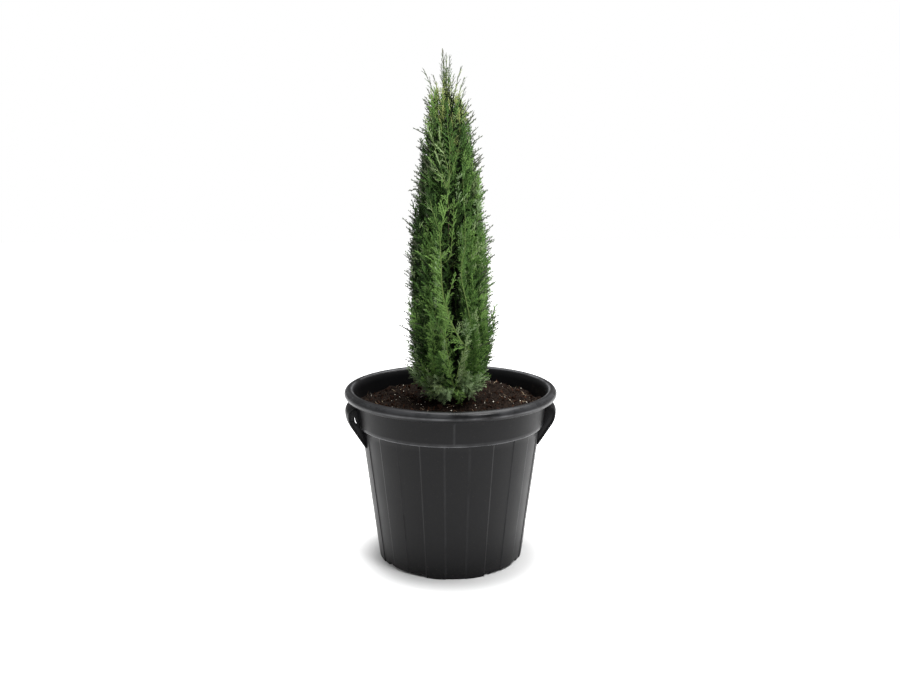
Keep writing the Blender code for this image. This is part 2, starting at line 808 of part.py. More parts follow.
def spray_shape(root, ahead, outward, length, width, bend, stagger):
    """A toothed blade: a thin closed shape with a raised rib on both faces and a sharp outline."""
    side = ahead.cross(outward).normalized()
    face = side.cross(ahead).normalized()
    half = spray_outline()
    ribs = [0.0] + [half[2 * tooth + 2][0] - 0.07 for tooth in range(SPRAY_TEETH)]

    def place(along, off, rise):
        bow = face * (-bend * length * along * along)
        return root + ahead * (along * length) + side * (off * width) + face * rise + bow

    points = []
    thick = [SPRAY_THICKNESS * (1 - 0.35 * number / len(ribs)) for number in range(len(ribs))]
    for sign in (1, -1):
        points += [place(along, 0.0, sign * rise) for along, rise in zip(ribs, thick)]
    sides = {}
    for sign in (1, -1):
        sides[sign] = []
        for number, (along, off) in enumerate(half[:-1]):
            shift = stagger * sign if number else 0.0
            sides[sign].append(len(points))
            points.append(place(along + shift, off * sign, 0.0))
    tip = len(points)
    points.append(place(1.0, 0.0, 0.0))

    faces = []
    for face_sign, rib_base in ((1, 0), (-1, len(ribs))):
        for sign in (1, -1):
            edge = sides[sign]
            corners = []
            for tooth in range(SPRAY_TEETH):
                rib = rib_base + tooth
                start, point, notch = edge[2 * tooth : 2 * tooth + 3]
                corners += [(rib, point, start), (rib, notch, point), (rib, rib + 1, notch)]
            corners.append((rib_base + SPRAY_TEETH, tip, edge[-1]))
            forward = face_sign * sign > 0
            faces += corners if forward else [corner[::-1] for corner in corners]
    upper, lower = 0, len(ribs)
    faces.append((upper, sides[1][0], lower))
    faces.append((upper, lower, sides[-1][0]))
    return points, faces


def grown_spray(index, mass, crown, root, ahead, outward, chance):
    """The longest spray from a root that stays in its mass's space, or nothing."""
    length = SPRAY_LENGTH * chance.uniform(0.85, 1.15)
    bend = chance.uniform(*SPRAY_BEND)
    stagger = chance.choice((-0.05, 0.05))
    for scale in TRIAL_SCALES:
        width = SPRAY_WIDTH * (0.35 + 0.65 * scale)
        points, faces = spray_shape(root, ahead, outward, length * scale, width, bend, stagger)
        corners = np.array(points)
        if min(crown.space_room(index, corners).min(), crown.outline_room(corners).min()) < 0:
            continue
        if crown.limb_room(spread_over(corners[np.array(faces)])).min() > LIMB_CLEARANCE:
            return points, faces
    return None


def spread_over(triangles):
    """Points spread evenly over many triangles."""
    steps = range(FACE_SAMPLES + 1)
    shares = [(a, b, FACE_SAMPLES - a - b) for a in steps for b in steps if a + b <= FACE_SAMPLES]
    return (np.array(shares) / FACE_SAMPLES @ triangles).reshape(-1, 3)


def spray_places(index, mass, crown, chance):
    """Roots and directions of a mass's sprays: up its stem, spread by the golden ratio."""
    outward_turn = math.radians(mass.degrees)
    is_leader = isinstance(mass, LeaderMass)
    fan = math.pi if is_leader else math.radians(SPRAY_FAN_DEG)
    for number in range(mass.sprays):
        share = 0.02 + 0.88 * (number + 0.5) / mass.sprays
        spread = ((number * GOLDEN_SHARE) % 1.0) * 2 - 1
        turn = outward_turn + fan * spread
        outward = Vector((math.sin(turn), -math.cos(turn), 0))
        ahead = mass.stem_ahead(share)
        lean = math.radians(chance.uniform(*SPRAY_LEAN_DEG)) * (0.5 if is_leader else 1.0)
        direction = (ahead * math.cos(lean) + outward * math.sin(lean)).normalized()
        roll = math.radians(chance.uniform(-SPRAY_ROLL_DEG, SPRAY_ROLL_DEG))
        facing = (outward * math.cos(roll) + direction.cross(outward) * math.sin(roll)).normalized()
        stem = mass.stem_point(share)
        root = stem + outward * (SPRAY_ROOT * open_reach(index, crown, stem, outward) * (1 - 0.4 * share))
        yield root, direction, facing


def make_mass(index, mass, crown, material):
    chance = random.Random(SEED + 7 * index)
    core = make_object(mass.name, *core_shape(index, mass, crown), material)
    centres = [mass.stem_point(share) for share in STEM_SHARES]
    centres[0] = centres[0] + mass.stem_ahead(0.0) * GAP
    start_radius = BOUGH_TIP_RADIUS * mass.thickness
    radii = [start_radius * (1 - STEM_TAPER * share) for share in STEM_SHARES[:-1]]
    radii.append(STEM_TIP_RADIUS)
    stem = tube_rings(centres, radii, STEM_SIDES, first=mass.stem_ahead(0.0))
    pieces = [make_object(f"{mass.name}_stem", *lofted(stem))]
    for number, (root, direction, facing) in enumerate(spray_places(index, mass, crown, chance)):
        shape = grown_spray(index, mass, crown, root, direction, facing, chance)
        if shape:
            pieces.append(make_object(f"{mass.name}_spray_{number}", *shape))
    join_all(core, pieces)
    return keep_main_shell(core)


def main():
    clear_scene()
    plastic = finish_material("black_plastic", BLACK_PLASTIC, 0.48)
    soil = finish_material("potting_soil", SOIL_BROWN, 0.95)
    bark = finish_material("bark", BARK_BROWN, 0.85)
    leaf = finish_material("cypress_leaf", LEAF_GREEN, 0.62)
    make_pot(plastic)
    make_handle("handle_left", -1, plastic)
    make_handle("handle_right", 1, plastic)
    make_soil(soil)
    make_trunk(bark)
    masses = plan_masses()
    crown = Crown(masses)
    for index, mass in enumerate(masses):
        if not isinstance(mass, LeaderMass):
            make_bough(mass, bark)
        make_mass(index, mass, crown, leaf)


main()
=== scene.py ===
"""Looks of a potted Italian cypress: a moulded black pot with ear handles, its soil, and a slim crown
of feathery upright plumes. Metres, +Z up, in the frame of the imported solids."""

import math
import random
from dataclasses import dataclass

import bmesh
import bpy
import numpy as np
from mathutils import Matrix, Vector, noise

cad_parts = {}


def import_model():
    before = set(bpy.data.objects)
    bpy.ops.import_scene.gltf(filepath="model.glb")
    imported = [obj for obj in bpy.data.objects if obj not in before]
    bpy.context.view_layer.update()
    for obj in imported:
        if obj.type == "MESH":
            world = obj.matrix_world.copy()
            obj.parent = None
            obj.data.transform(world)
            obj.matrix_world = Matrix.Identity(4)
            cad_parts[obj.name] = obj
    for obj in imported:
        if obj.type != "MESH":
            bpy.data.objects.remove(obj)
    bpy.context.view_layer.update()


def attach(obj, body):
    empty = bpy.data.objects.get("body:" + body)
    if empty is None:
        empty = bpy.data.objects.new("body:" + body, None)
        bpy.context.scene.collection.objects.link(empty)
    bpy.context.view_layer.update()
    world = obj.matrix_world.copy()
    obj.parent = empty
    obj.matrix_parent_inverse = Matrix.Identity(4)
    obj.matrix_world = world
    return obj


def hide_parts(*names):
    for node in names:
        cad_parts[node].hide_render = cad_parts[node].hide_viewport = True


SEED = 23

# Camera of the photograph, as a stand-off from the pot's axis
IMAGE_WIDTH = 900
FOCAL_PIXELS = 856.7
SENSOR_WIDTH = 36.0
CAMERA_DISTANCE = 1.5796
CAMERA_HEIGHT = 0.7029
CAMERA_TURN_DEG = -4.0
CAMERA_YAW_DEG = 0.036
CAMERA_PITCH_DEG = 10.187

# Light: the room's and backdrop's strength, the floor's own glow, and each lamp's place, size and power.
# The floor's glow is painted light that whitens it; it fades out towards the pot's foot and so leaves a
# painted contact shadow round it
ROOM_LIGHT = 0.26
BACKDROP_LIGHT = 1.0
FLOOR_REACH = 9
FLOOR_GLOW = 0.95
# The glow rises from none to full between these distances from its centre, which sits off the axis to shape
# the painted contact shadow
FLOOR_GLOW_REACH = (0.122, 0.229)
FLOOR_GLOW_CENTRE = (0.017, -0.021, 0.0)
LAMP_AIM = (0.0, 0.0, 0.45)
LAMPS = (
    ("overhead", (0.50, 0.20, 2.75), 2.4, 150.0),
    ("right", (1.15, -1.50, 2.40), 0.8, 46.0),
    ("left", (-2.1, 0.5, 1.2), 1.2, 1.0),
)

# Pot wall, as radii and heights
FOOT_RADIUS = 0.138
BODY_SLOPE = 0.125
STEP_HEIGHT = 0.259
COLLAR_FOOT_RADIUS = 0.177
COLLAR_TOP_RADIUS = 0.1833
COLLAR_TOP_HEIGHT = 0.308
BEAD_CENTRE_RADIUS = 0.1905
BEAD_CENTRE_HEIGHT = 0.317
BEAD_RADIUS = 0.0095
LIP_RADIUS = 0.1828
LIP_HEIGHT = 0.3205
WALL = 0.0026
FLOOR_HEIGHT = 0.0065
FOOT_INNER_RADIUS = 0.121
UNDERSIDE_RADIUS = 0.118
FOOT_ROUND = 0.0012
STEP_ROUND = 0.0016
COLLAR_ROUND = 0.0026
FINE_ROWS_TOP = 0.012
COARSE_ROWS_FOOT = 0.010
STEP_NECK = (0.0004, 0.0003)
COLLAR_TURN_IN = 0.002
BEAD_NECK = 0.0008
LIP_DROP = (0.0012, 0.0008)
POT_SHARP_DEG = 50

# Upright flutes, arches and drain notches of the foot
FLUTES = 12
FLUTE_DEPTH = 0.0013
FLUTE_EDGE = 0.07
# Pale lines along the flute edges: partly rubbing, partly a painted highlight of the edges
FLUTE_HIGHLIGHT_AND_WEAR = 0.030
FLUTE_HIGHLIGHT_AND_WEAR_EDGE = (0.20, 0.05)
ANGLE_CROWDING = 0.6
ARCH_START_DEG = 22.5
ARCH_END_DEG = 60.0
ARCH_SIDE_DEG = 0.3
ARCH_HEIGHT = 0.003
ARCH_FADE_HEIGHT = 0.012
NOTCH_DEGS = (24.6, 57.9)
NOTCH_HALF_DEG = 2.1
NOTCH_HEIGHT = 0.0022
SEAM_DEG = 1.9
SEAM_WEAR = 0.07
SEAM_HALF_DEGS = (0.7, 0.3)
WALL_TURNS = 576
WALL_WAVE = 0.0004
WAVES_A_METRE = 6.0
SAME_POINT = 0.00002

# Pale marks on the edges. Collar's foot, a line of rubbing that also stands as a painted highlight on its
# rounding: height over the step, half width, strength. Bead, painted highlights and a faint painted sheen:
# middle and half width of each painted stretch in degrees up from level, how square its ends are, strength
COLLAR_HIGHLIGHT_AND_WEAR = (0.0008, 0.0018, 0.40)
COLLAR_HIGHLIGHT_AND_WEAR_DEPTH = 0.003
ON_BEAD = 0.0001
BEAD_HIGHLIGHTS = (
    (-12, 10, 2, 0.36),
    (40, 36, 4, 0.11),
    (116, 10, 2, 0.45),
)

# Ear handles
EAR_HALF_DEG = 16.0
WEB_THICKNESS = 0.0036
EAR_REACH = 0.1992
CORNER_HEIGHT = 0.2840
CORNER_ROUND = 0.0120
BOW_ROUND = 0.0400
EAR_LEAN_DEG = 32.0
EAR_SHOULDER_DEG = 62.0
EAR_SINK = 0.0018
EAR_TOP_SINK = 0.002
EAR_FOOT_HEIGHT = 0.2215
GRIP_LOW_HEIGHT = 0.2680
GRIP_THICKNESS = 0.0034
GRIP_STEPS = 24
CORNER_STEPS = 8
FLANGE_WIDTH = 0.0080
SLOT_WIDTH = 0.0011
SLOT_LENGTH = 0.0120
SLOT_INSET = 0.0120
SLOT_HEIGHT = 0.2760
POINT_ROOM = 0.001
EAR_EDGE_ROUND = 0.0006
EAR_ROUND_FROM_DEG = 40
EAR_SHARP_DEG = 45

# Soil: its level, its mound (x, y, reach, rise) and its lumps, clods and crumbs, as size and rise
SOIL_HEIGHT = 0.2972
SOIL_DIP = 0.0045
SOIL_SETTLING = 0.0012
SOIL_RADIUS = 0.1775
SOIL_DEPTH = 0.02
MOUND = (0.080, 0.095, 0.036, 0.017)
LUMPS = (0.032, 0.0065)
CLODS = (0.012, 0.0060)
CRUMBS = (0.0040, 0.0018)
SOIL_RINGS = 110
SOIL_SEGMENTS = 300

# Shapes of the bits on the soil: proportions, roundness, number of variants
BIT_SHAPES = {
    "bark_bits": ((1.0, 0.50, 0.26), 0.6, 5),
    "mineral_bits": ((1.0, 0.9, 0.8), 0.75, 4),
    "straw_bits": ((0.034, 0.034, 1.0), 0.7, 3),
}

# Bits on the soil: piece, shape, number a square metre, smallest and largest, seed, and the material's
# name, its dark and light colour and its grain
STREWN_RADII = (0.012, 0.06, 0.11, SOIL_RADIUS - 0.005)
STREWN_STEPS = 48
BIT_LIFT = 0.25
STREWN = (
    ("soil_clods", "mineral_bits", 420.0, 0.007, 0.019, 13, ("soil_clod", "#090604", "#2e1e17", 0.003)),
    ("soil_crumbs", "mineral_bits", 24000.0, 0.0014, 0.005, 3, ("dark_crumbs", "#050302", "#271b15", 0.002)),
    ("bark_chips", "bark_bits", 3200.0, 0.004, 0.014, 5, ("chipped_bark", "#140c08", "#452d20", 0.003)),
    ("perlite_beads", "mineral_bits", 1500.0, 0.0014, 0.0034, 7, ("perlite", "#b9b2a2", "#ece8dc", 0.001)),
    ("dry_fibres", "straw_bits", 1500.0, 0.005, 0.024, 11, ("dry_fibre", "#6e5b47", "#c3b094", 0.001)),
)

# Trunk
GAP = 0.0003
TRUNK_FOOT_HEIGHT = SOIL_HEIGHT + GAP
TRUNK_TIP_HEIGHT = 0.832
TRUNK_RADIUS = 0.0062
TRUNK_TIP_RADIUS = 0.0012
TRUNK_TAPER = 0.9
FLARE = 0.0036
FLARE_HEIGHT = 0.010
FLARE_LOBES = 3
FLARE_LOBE_DEPTH = 0.35
TRUNK_SWEEP = 0.002
TRUNK_FOOT_OFFSET = (0.008, 0.004)
TRUNK_SIDES = 20
TRUNK_STATIONS = 240
STATION_CROWDING = 1.25
BARK_RELIEF = 0.0007
BARK_FIBRE = 0.0022
BARK_STRETCH = 0.10
PLANT_TOP = 0.9386
LEADER_LEAN = -0.015

# Crown outline
CROWN_FOOT = 0.296
CROWN_REACH = 0.090
WIDEST_AT = 0.23
OUTLINE_POWER = 0.52
CROWN_CENTRE_X = -0.001
CROWN_LEAN_SHARE = 0.6
FOOT_OFFSET_SHARE = 0.3
FOOT_DRAW_IN = 0.5
FOOT_DRAW_HEIGHT = 0.022

# Tiers of foliage masses: height of their middle, masses round the trunk, turn of the first one, length
TIERS = (
    (0.375, 5, 45.0, 0.190),
    (0.515, 5, 41.0, 0.240),
    (0.652, 4, -6.0, 0.230),
    (0.780, 4, 38.0, 0.225),
)
TIER_STAGGER = 0.060
SEAT_REACH = 0.56
STEM_START_REACH = 0.24
STEM_BEND_REACH = 0.68
STEM_END_REACH = 0.74
LEADER_MASS_HEIGHT = 0.905
LEADER_STOUTNESS = 0.6
HEIGHT_WEIGHT = 0.42
SPACE_SLOPE = 1.3
SPACE_MARGIN = 0.0006
STEM_MARGIN = 0.003
STEM_TAPER = 0.55
STEM_END_SHARE = 0.25
STEM_BEND_DROP = 0.1

# Boughs
BOUGH_RADIUS = 0.0027
BOUGH_TIP_RADIUS = 0.0018
BOUGH_THINNING = 1.2
BOUGH_RISE = 1.15
LOWEST_BOUGH = TRUNK_FOOT_HEIGHT + 0.006
LOWEST_STEM = TRUNK_FOOT_HEIGHT + 0.026
BOUGH_SAG = 0.12
BOUGH_BEND_SHARE = 0.35
BOUGH_SIDES = 10
BOUGH_STATIONS = 24

# Plumes: slim upright shoots that branch from the masses' stems, in columns side by side
COLUMNS = (4, 4, 4, 3)
COLUMN_SHIFTS_DEG = (0.0, 0.0, -11.0, 0.0)
COLUMN_JITTER_DEG = 5.0
COLUMN_ROOM = 0.020
ROW_START = 0.25
ROW_STAGGER = 0.5
ROW_JITTER = 0.3
FILL_HEIGHTS = (0.60, 0.65, 0.71, 0.77, 0.83)
FILL_SHARES = (1.0, 0.90, 0.84, 0.765, 0.67)
ROWS = 8
PLUME_RISE = (0.070, 0.115)
PLUME_BEND_HEIGHT = 0.35
PLUME_BEND_REACH = 0.96
HIGHEST_ROOT = 0.96
SHORT_BEND_REACH = 0.8
PLUME_REACH = (0.71, 0.83)
PLUME_LIMIT = (0.77, 0.97, 0.85)
HIGHEST_PLUME = 0.868
HIGHEST_PLUME_SLOPE = 0.020
HIGHEST_PLUME_JITTER = 0.018
PROUD_SHARE = 0.13
PROUD_STEP = 0.12
PROUD_REACH = 0.97
PROUD_RISE = 0.006
PROUD_LIMIT = 1.06
PLUME_POINTS = 14
PLUME_RADIUS = 0.00095
PLUME_TIP_RADIUS = 0.00035
PLUME_SIDES = 5
FEATHER_STEM = (0.4, 1.2)
GOLDEN_ANGLE_DEG = 137.508

# Skirt: short shoots and broad fans that leave the trunk's foot level and turn up, and for each kind the
# limit of its sprays and its share of the skirt's reach
SKIRT_PLUMES = 56
SKIRT_ROOT = (0.304, 0.322)
SKIRT_TOP = (0.313, 0.358)
SKIRT_REACH = (0.58, 0.77)
SKIRT_SPREAD = 0.21
SKIRT_LIFT = 0.006
SKIRT_KINDS = (("fan", 0.98, 1.0), ("shoot", 0.80, 0.80))
FAN_SIZE = (0.70, 1.05)

# Inner growth: shoots round the trunk that close the view through the crown, in the deepest green as
# painted shade
INNER_PLUMES = 80
INNER_HEIGHTS = (0.318, 0.780)
INNER_DROP = 0.020
INNER_RISE = 0.055
INNER_REACH = (0.42, 0.60)
INNER_LIMIT = 0.75
TIER_OVERLAP = 0.07

# Hollows between plumes: middle and half width in degrees, lowest and highest height, depth
HOLLOWS = (
    (1.0, 10.0, 0.44, 0.74, 0.66),
    (1.5, 6.0, 0.35, 0.44, 0.48),
    (4.0, 7.0, 0.29, 0.35, 0.45),
    (85.0, 40.0, 0.33, 0.43, 0.13),
    (85.0, 40.0, 0.43, 0.60, 0.045),
    (75.0, 60.0, 0.845, 0.94, 0.40),
    (-27.0, 5.0, 0.69, 0.77, 0.22),
    (-68.0, 6.0, 0.40, 0.62, 0.18),
    (78.0, 7.0, 0.44, 0.70, 0.20),
    (140.0, 8.0, 0.38, 0.66, 0.24),
    (205.0, 7.0, 0.50, 0.80, 0.22),
    (262.0, 6.0, 0.36, 0.56, 0.20),
)
HOLLOW_ROOM = 1.12

# Spires: tips that stand clear of the crown's top, as x, y and height
SPIRE_LENGTH = 0.105
SPIRE_HUG = 0.08
SPIRES = (
    (-0.0143, -0.002, 0.9376),
    (-0.0071, 0.004, 0.9275),
    (-0.0018, -0.004, 0.9238),
    (-0.0158, 0.004, 0.9119),
    (-0.0040, 0.012, 0.905),
    (-0.0095, -0.010, 0.902),
    (0.0178, -0.006, 0.9056),
    (-0.0476, -0.008, 0.9001),
    (-0.0299, 0.010, 0.8936),
    (0.0052, 0.006, 0.8918),
    (-0.0162, -0.012, 0.889),
    (0.0246, 0.004, 0.889),
    (-0.0020, -0.012, 0.880),
    (-0.0402, 0.006, 0.8697),
    (0.0250, -0.012, 0.8697),
    (0.0322, 0.004, 0.8502),
    (-0.0220, 0.026, 0.868),
    (0.0120, 0.028, 0.862),
    (-0.0427, -0.008, 0.841),
    (0.0410, 0.006, 0.8278),
)

# Feathers: plumes that show on the crown's front, most of them long and upright, and four at the foot that
# hang. Each has its reach, its breadth, the shade of its leaves, the share of its sprays on the left and
# the x and height of the points it runs through
FEATHERS = (
    (0.89, 1.0, "fresh", 0.84, (0.020, 0.416), (0.0, 0.451), (-0.012, 0.480), (-0.020, 0.519),
     (-0.022, 0.568), (-0.023, 0.606), (-0.019, 0.637), (-0.012, 0.661), (-0.010, 0.692)),
    (0.89, 0.7, "mid", 0.60, (-0.023, 0.600), (-0.029, 0.635), (-0.036, 0.656), (-0.041, 0.680)),
    (0.81, 0.7, "mid", 0.50, (-0.010, 0.682), (-0.006, 0.709), (-0.005, 0.743), (-0.005, 0.769),
     (-0.008, 0.798), (-0.009, 0.836)),
    (0.78, 0.46, "fresh", 0.50, (-0.006, 0.574), (-0.003, 0.594), (-0.001, 0.618), (0.001, 0.642),
     (0.001, 0.664)),
    (0.88, 0.55, "mid", 0.16, (0.031, 0.461), (0.019, 0.513), (0.014, 0.541), (0.015, 0.567),
     (0.021, 0.590), (0.021, 0.616), (0.021, 0.649), (0.018, 0.690), (0.018, 0.730)),
    (0.88, 0.55, "fresh", 0.66, (-0.003, 0.440), (-0.007, 0.469), (-0.013, 0.494), (-0.009, 0.508),
     (0.0, 0.536)),
    (0.97, 0.7, "fresh", 0.70, (0.006, 0.322), (0.000, 0.345), (-0.006, 0.366), (-0.011, 0.380),
     (-0.018, 0.394)),
    (0.90, 0.6, "fresh", 0.66, (-0.006, 0.367), (-0.008, 0.389), (-0.012, 0.411), (-0.014, 0.429),
     (-0.014, 0.448), (-0.009, 0.467)),
    (0.94, 0.6, "grey", 0.20, (0.005, 0.345), (0.010, 0.382), (0.017, 0.402), (0.022, 0.423)),
    (0.79, 0.45, "grey", 0.50, (-0.008, 0.726), (-0.017, 0.760), (-0.027, 0.797)),
    (0.76, 0.45, "mid", 0.50, (-0.004, 0.764), (0.003, 0.793), (0.008, 0.826)),
    (0.79, 0.45, "mid", 0.50, (-0.002, 0.723), (0.008, 0.752), (0.015, 0.783)),
    (0.80, 0.45, "grey", 0.50, (-0.015, 0.712), (-0.027, 0.752), (-0.037, 0.787)),
    (0.90, 0.6, "fresh", 0.60, (-0.012, 0.695), (-0.022, 0.719), (-0.034, 0.737)),
    (0.90, 0.6, "mid", 0.60, (-0.018, 0.438), (-0.026, 0.453), (-0.033, 0.462)),
    (1.06, 0.62, "pale", 0.50, (-0.008, 0.338), (-0.015, 0.324), (-0.020, 0.310)),
    (1.08, 0.58, "fresh", 0.50, (0.008, 0.336), (0.013, 0.322), (0.015, 0.309)),
    (1.02, 0.60, "grey", 0.50, (-0.022, 0.344), (-0.033, 0.332), (-0.041, 0.319)),
    (1.00, 0.60, "pale", 0.50, (0.022, 0.344), (0.032, 0.332), (0.037, 0.319)),
)
FEATHER_DROP = 0.015
RISING_ROOM = 0.08
HANGING_ROOM = 0.45

# Sprays: the plumes' feathery side shoots, as kinds with a length and a number of shoots
SPRAY_KINDS = {
    "long": (0.023, 7),
    "middle": (0.017, 6),
    "short": (0.011, 4),
    "tip": (0.024, 8),
    "broad": (0.027, 8),
    "whip": (0.024, 8),
}
SPRAY_VARIANTS = 4
SHOOT_RADIUS = 0.00085
SHOOT_WIDEST = 0.64
SHOOT_LENGTH = 0.0098
WHIP_SHOOT = 0.56
SWAY_X = (-0.10, 0.10)
SWAY_Y = (-0.16, 0.02)
AXIS_FOOT = 1.1
AXIS_TAPER = 0.6
AXIS_CORNERS = (0.0, 2.1, 4.2)
FIRST_SHOOT = 0.06
SHOOT_SPAN = 0.88
TIP_LEAN_DEG = (24, 38)
SIDE_LEAN_DEG = (32, 52)
SIDE_ROLL_DEG = 30
SHOOT_SHORTENING = 0.45
SHOOT_VARIETY = (0.7, 1.15)
SHOOT_UPTURN = 0.10
LEAST_SHOOT = 0.75
SHOOT_GROWTH = 9

# How the sprays stand: the bare share of each kind of plume, the step between its sprays, and up to
# which share of the plume each kind of spray grows
BARE_SHARE = {"shoot": 0.16, "fan": 0.16, "spire": 0.34}
FEATHER_BARE_POINTS = 0.8
SPRAY_STEPS = {"shoot": 0.0028, "fan": 0.0050, "spire": 0.0046, "feather": 0.0052}
SPRAY_ORDER = {
    "shoot": ((0.55, "long"), (0.82, "middle"), (2.0, "short")),
    "fan": ((2.0, "broad"),),
    "spire": ((0.45, "middle"), (0.75, "short"), (2.0, "whip")),
    "feather": ((0.70, "broad"), (0.86, "long"), (2.0, "short")),
}
SPRAY_SWINGS_DEG = (72.0, -72.0, 12.0, -125.0, 125.0, -28.0)
FEATHER_SWING_DEG = 82.0
SPRAY_LEAN_DEG = (36.0, 58.0)
SPIRE_LEAN_SHARE = 0.66
STRAY_SHARE = 0.10
STRAY_LIMIT = (0.98, 1.13)
NO_LIMIT = 9.0
TIP_LIMIT_ROOM = 0.05
TIP_SHARE = 0.94
LAST_SPRAY = 0.98
FOLIAGE_SKIN = 0.88
ROLL_JITTER_DEG = 34
SWING_JITTER_DEG = 26
FEATHER_JITTER_DEG = 36
LEAN_DROP = 0.30
SHARE_JITTER = 0.12
SPRAY_SIZE = (0.85, 1.15)
SPIRE_SIZE = 1.20
SPIRE_TAPER = 0.85
FEATHER_SIZE = (0.65, 1.10)
TIP_SIZE = (0.8, 1.2)
SPIRE_TIP_SIZE = (0.30, 0.45)
STRAY_SIZE = (0.8, 1.4)
STRAY_SWING_DEG = (-40, 40)
STRAY_LEAN_DEG = (28, 56)
STRAY_FROM = 0.5
LIMIT_ROOM = 0.04
SHORTER = 0.80
SHORTEST = 0.5
TRIES = 5
FEWEST_SPRAYS = 5
NEAR_AXIS = 0.004
LEAST_CROWN = 0.001
SOIL_ROOM = 0.002
TOP_ROOM = 0.0006

# Colours, as seen, in sRGB
# Several greens are lit and shaded copies of one leaf: deep, dark and dusk serve as painted shade, and
# silver, pale and fresh are dealt out more where painted light falls
LEAF_SHADES = {
    "deep": "#0f1a08",
    "dark": "#253d17",
    "mid": "#4a6a32",
    "fresh": "#6f914b",
    "pale": "#90a97a",
    "olive": "#8f9c5d",
    "grey": "#869b6a",
    "silver": "#aec796",
    "dusk": "#515845",
}
SHADE_STEPS = ("deep", "dark", "mid", "fresh", "pale")
# The side of the crown that its greens make brightest, as painted light
PAINTED_LIGHT_FROM_DEG = 60
# Depths below the crown's skin past which sprays take the deep and the dark greens of painted shade
DEEP_DEPTH = 0.028
SHADED_DEPTH = 0.017
OLIVE_HEIGHT = 0.80
PALE_HEIGHT = 0.72
PALE_FOOT = 0.37


# Small helpers


def linear(hex_colour):
    """An sRGB hex colour as the linear red, green, blue and alpha that a shader takes."""
    values = [int(hex_colour[place : place + 2], 16) / 255 for place in (1, 3, 5)]
    return (*(v / 12.92 if v <= 0.04045 else ((v + 0.055) / 1.055) ** 2.4 for v in values), 1.0)


def socket(sockets, key):
    """A node's socket by number or by name, or the first one in use."""
    if isinstance(key, int):
        return sockets[key]
    return next(item for item in sockets if item.enabled and key in (None, item.name))


def feed(tree, node, inputs):
    """Fills a node's inputs. Each takes a value, a node, a node with an output's name, or a sum such as
    ("MULTIPLY", node, 2.0), which becomes a Math node."""
    for key, value in inputs.items():
        if isinstance(value, tuple) and isinstance(value[0], str):
            value = add(tree, "ShaderNodeMath", *value[1:], operation=value[0])
        if isinstance(value, bpy.types.Node):
            value = (value, None)
        target = socket(node.inputs, key)
        if isinstance(value, tuple) and isinstance(value[0], bpy.types.Node):
            tree.links.new(socket(value[0].outputs, value[1]), target)
        else:
            target.default_value = value


def add(tree, kind, *numbered, **named):
    """Adds a node. Words that begin with a capital are its inputs, the others its settings."""
    node = tree.nodes.new(kind)
    inputs = dict(enumerate(numbered))
    for name, value in named.items():
        if name[0].isupper():
            inputs[name.replace("_", " ")] = value
        else:
            setattr(node, name, value)
    feed(tree, node, inputs)
    return node


def applied(thing):
    """The object with its modifiers' result as its plain mesh."""
    graph = bpy.context.evaluated_depsgraph_get()
    mesh = bpy.data.meshes.new_from_object(thing.evaluated_get(graph))
    thing.modifiers.clear()
    thing.data = mesh
    mesh.name = thing.name
    return thing


def run_tree(thing, build, sizes):
    """Runs a geometry tree on an object, with its sizes as named inputs, and keeps the result as a plain
    mesh. The function build adds the nodes between the tree's input and its end."""
    tree = bpy.data.node_groups.get(build.__name__)
    if tree is None:
        tree = bpy.data.node_groups.new(build.__name__, "GeometryNodeTree")
        kinds = {float: "Float", int: "Int", bpy.types.Mesh: "Geometry"}
        for label, value in {"Geometry": thing.data, **sizes}.items():
            kind = kinds.get(type(value), type(value).__name__)
            tree.interface.new_socket(name=label, in_out="INPUT", socket_type=f"NodeSocket{kind}")
        tree.interface.new_socket(name="Geometry", in_out="OUTPUT", socket_type="NodeSocketGeometry")
        given = add(tree, "NodeGroupInput")
        real = add(tree, "GeometryNodeRealizeInstances", build(tree, given))
        done = add(tree, "GeometryNodeSetMaterial", real, Material=(given, "Material"))
        add(tree, "NodeGroupOutput", done)
    modifier = thing.modifiers.new(tree.name, "NODES")
    modifier.node_group = tree
    for item in tree.interface.items_tree:
        if item.in_out == "INPUT" and item.name in sizes:
            modifier[item.identifier] = sizes[item.name]
    return applied(thing)


def mesh_object(name, points, faces, edges=(), material=None):
    mesh = bpy.data.meshes.new(name)
    mesh.from_pydata([tuple(point) for point in points], list(edges), faces)
    if faces:
        mesh.shade_smooth()
    if material:
        mesh.materials.append(material)
    thing = bpy.data.objects.new(name, mesh)
    bpy.context.scene.collection.objects.link(thing)
    return thing


def give_values(thing, name, values, kind="FLOAT"):
    """Stores a number, a whole number or a vector on each point of a mesh."""
    attribute = thing.data.attributes.new(name, kind, "POINT")
    key = "vector" if kind == "FLOAT_VECTOR" else "value"
    number = np.int32 if kind == "INT" else np.float32
    attribute.data.foreach_set(key, np.array(values, dtype=number).ravel())


def ring_faces(first, rings, count):
    """Faces between rings of points, each ring numbered on from the one inside it or below it."""
    faces = []
    for base in range(first, first + (rings - 1) * count, count):
        for step in range(count):
            after = (step + 1) % count
            faces.append((base + step, base + count + step, base + count + after, base + after))
    return faces


def lofted(rings):
    """Points and faces of a closed shape through rings of equal size, from foot to top."""
    count, last = len(rings[0]), len(rings) - 1
    sides = [(a, d, c, b) for a, b, c, d in ring_faces(0, len(rings), count)]
    foot, top = tuple(reversed(range(count))), tuple(last * count + side for side in range(count))
    return [point for ring in rings for point in ring], [foot, *sides, top]


def joined(shapes):
    """The points and faces of several shapes as those of one."""
    points, faces = [], []
    for some_points, some_faces in shapes:
        faces += [[index + len(points) for index in face] for face in some_faces]
        points += some_points
    return points, faces


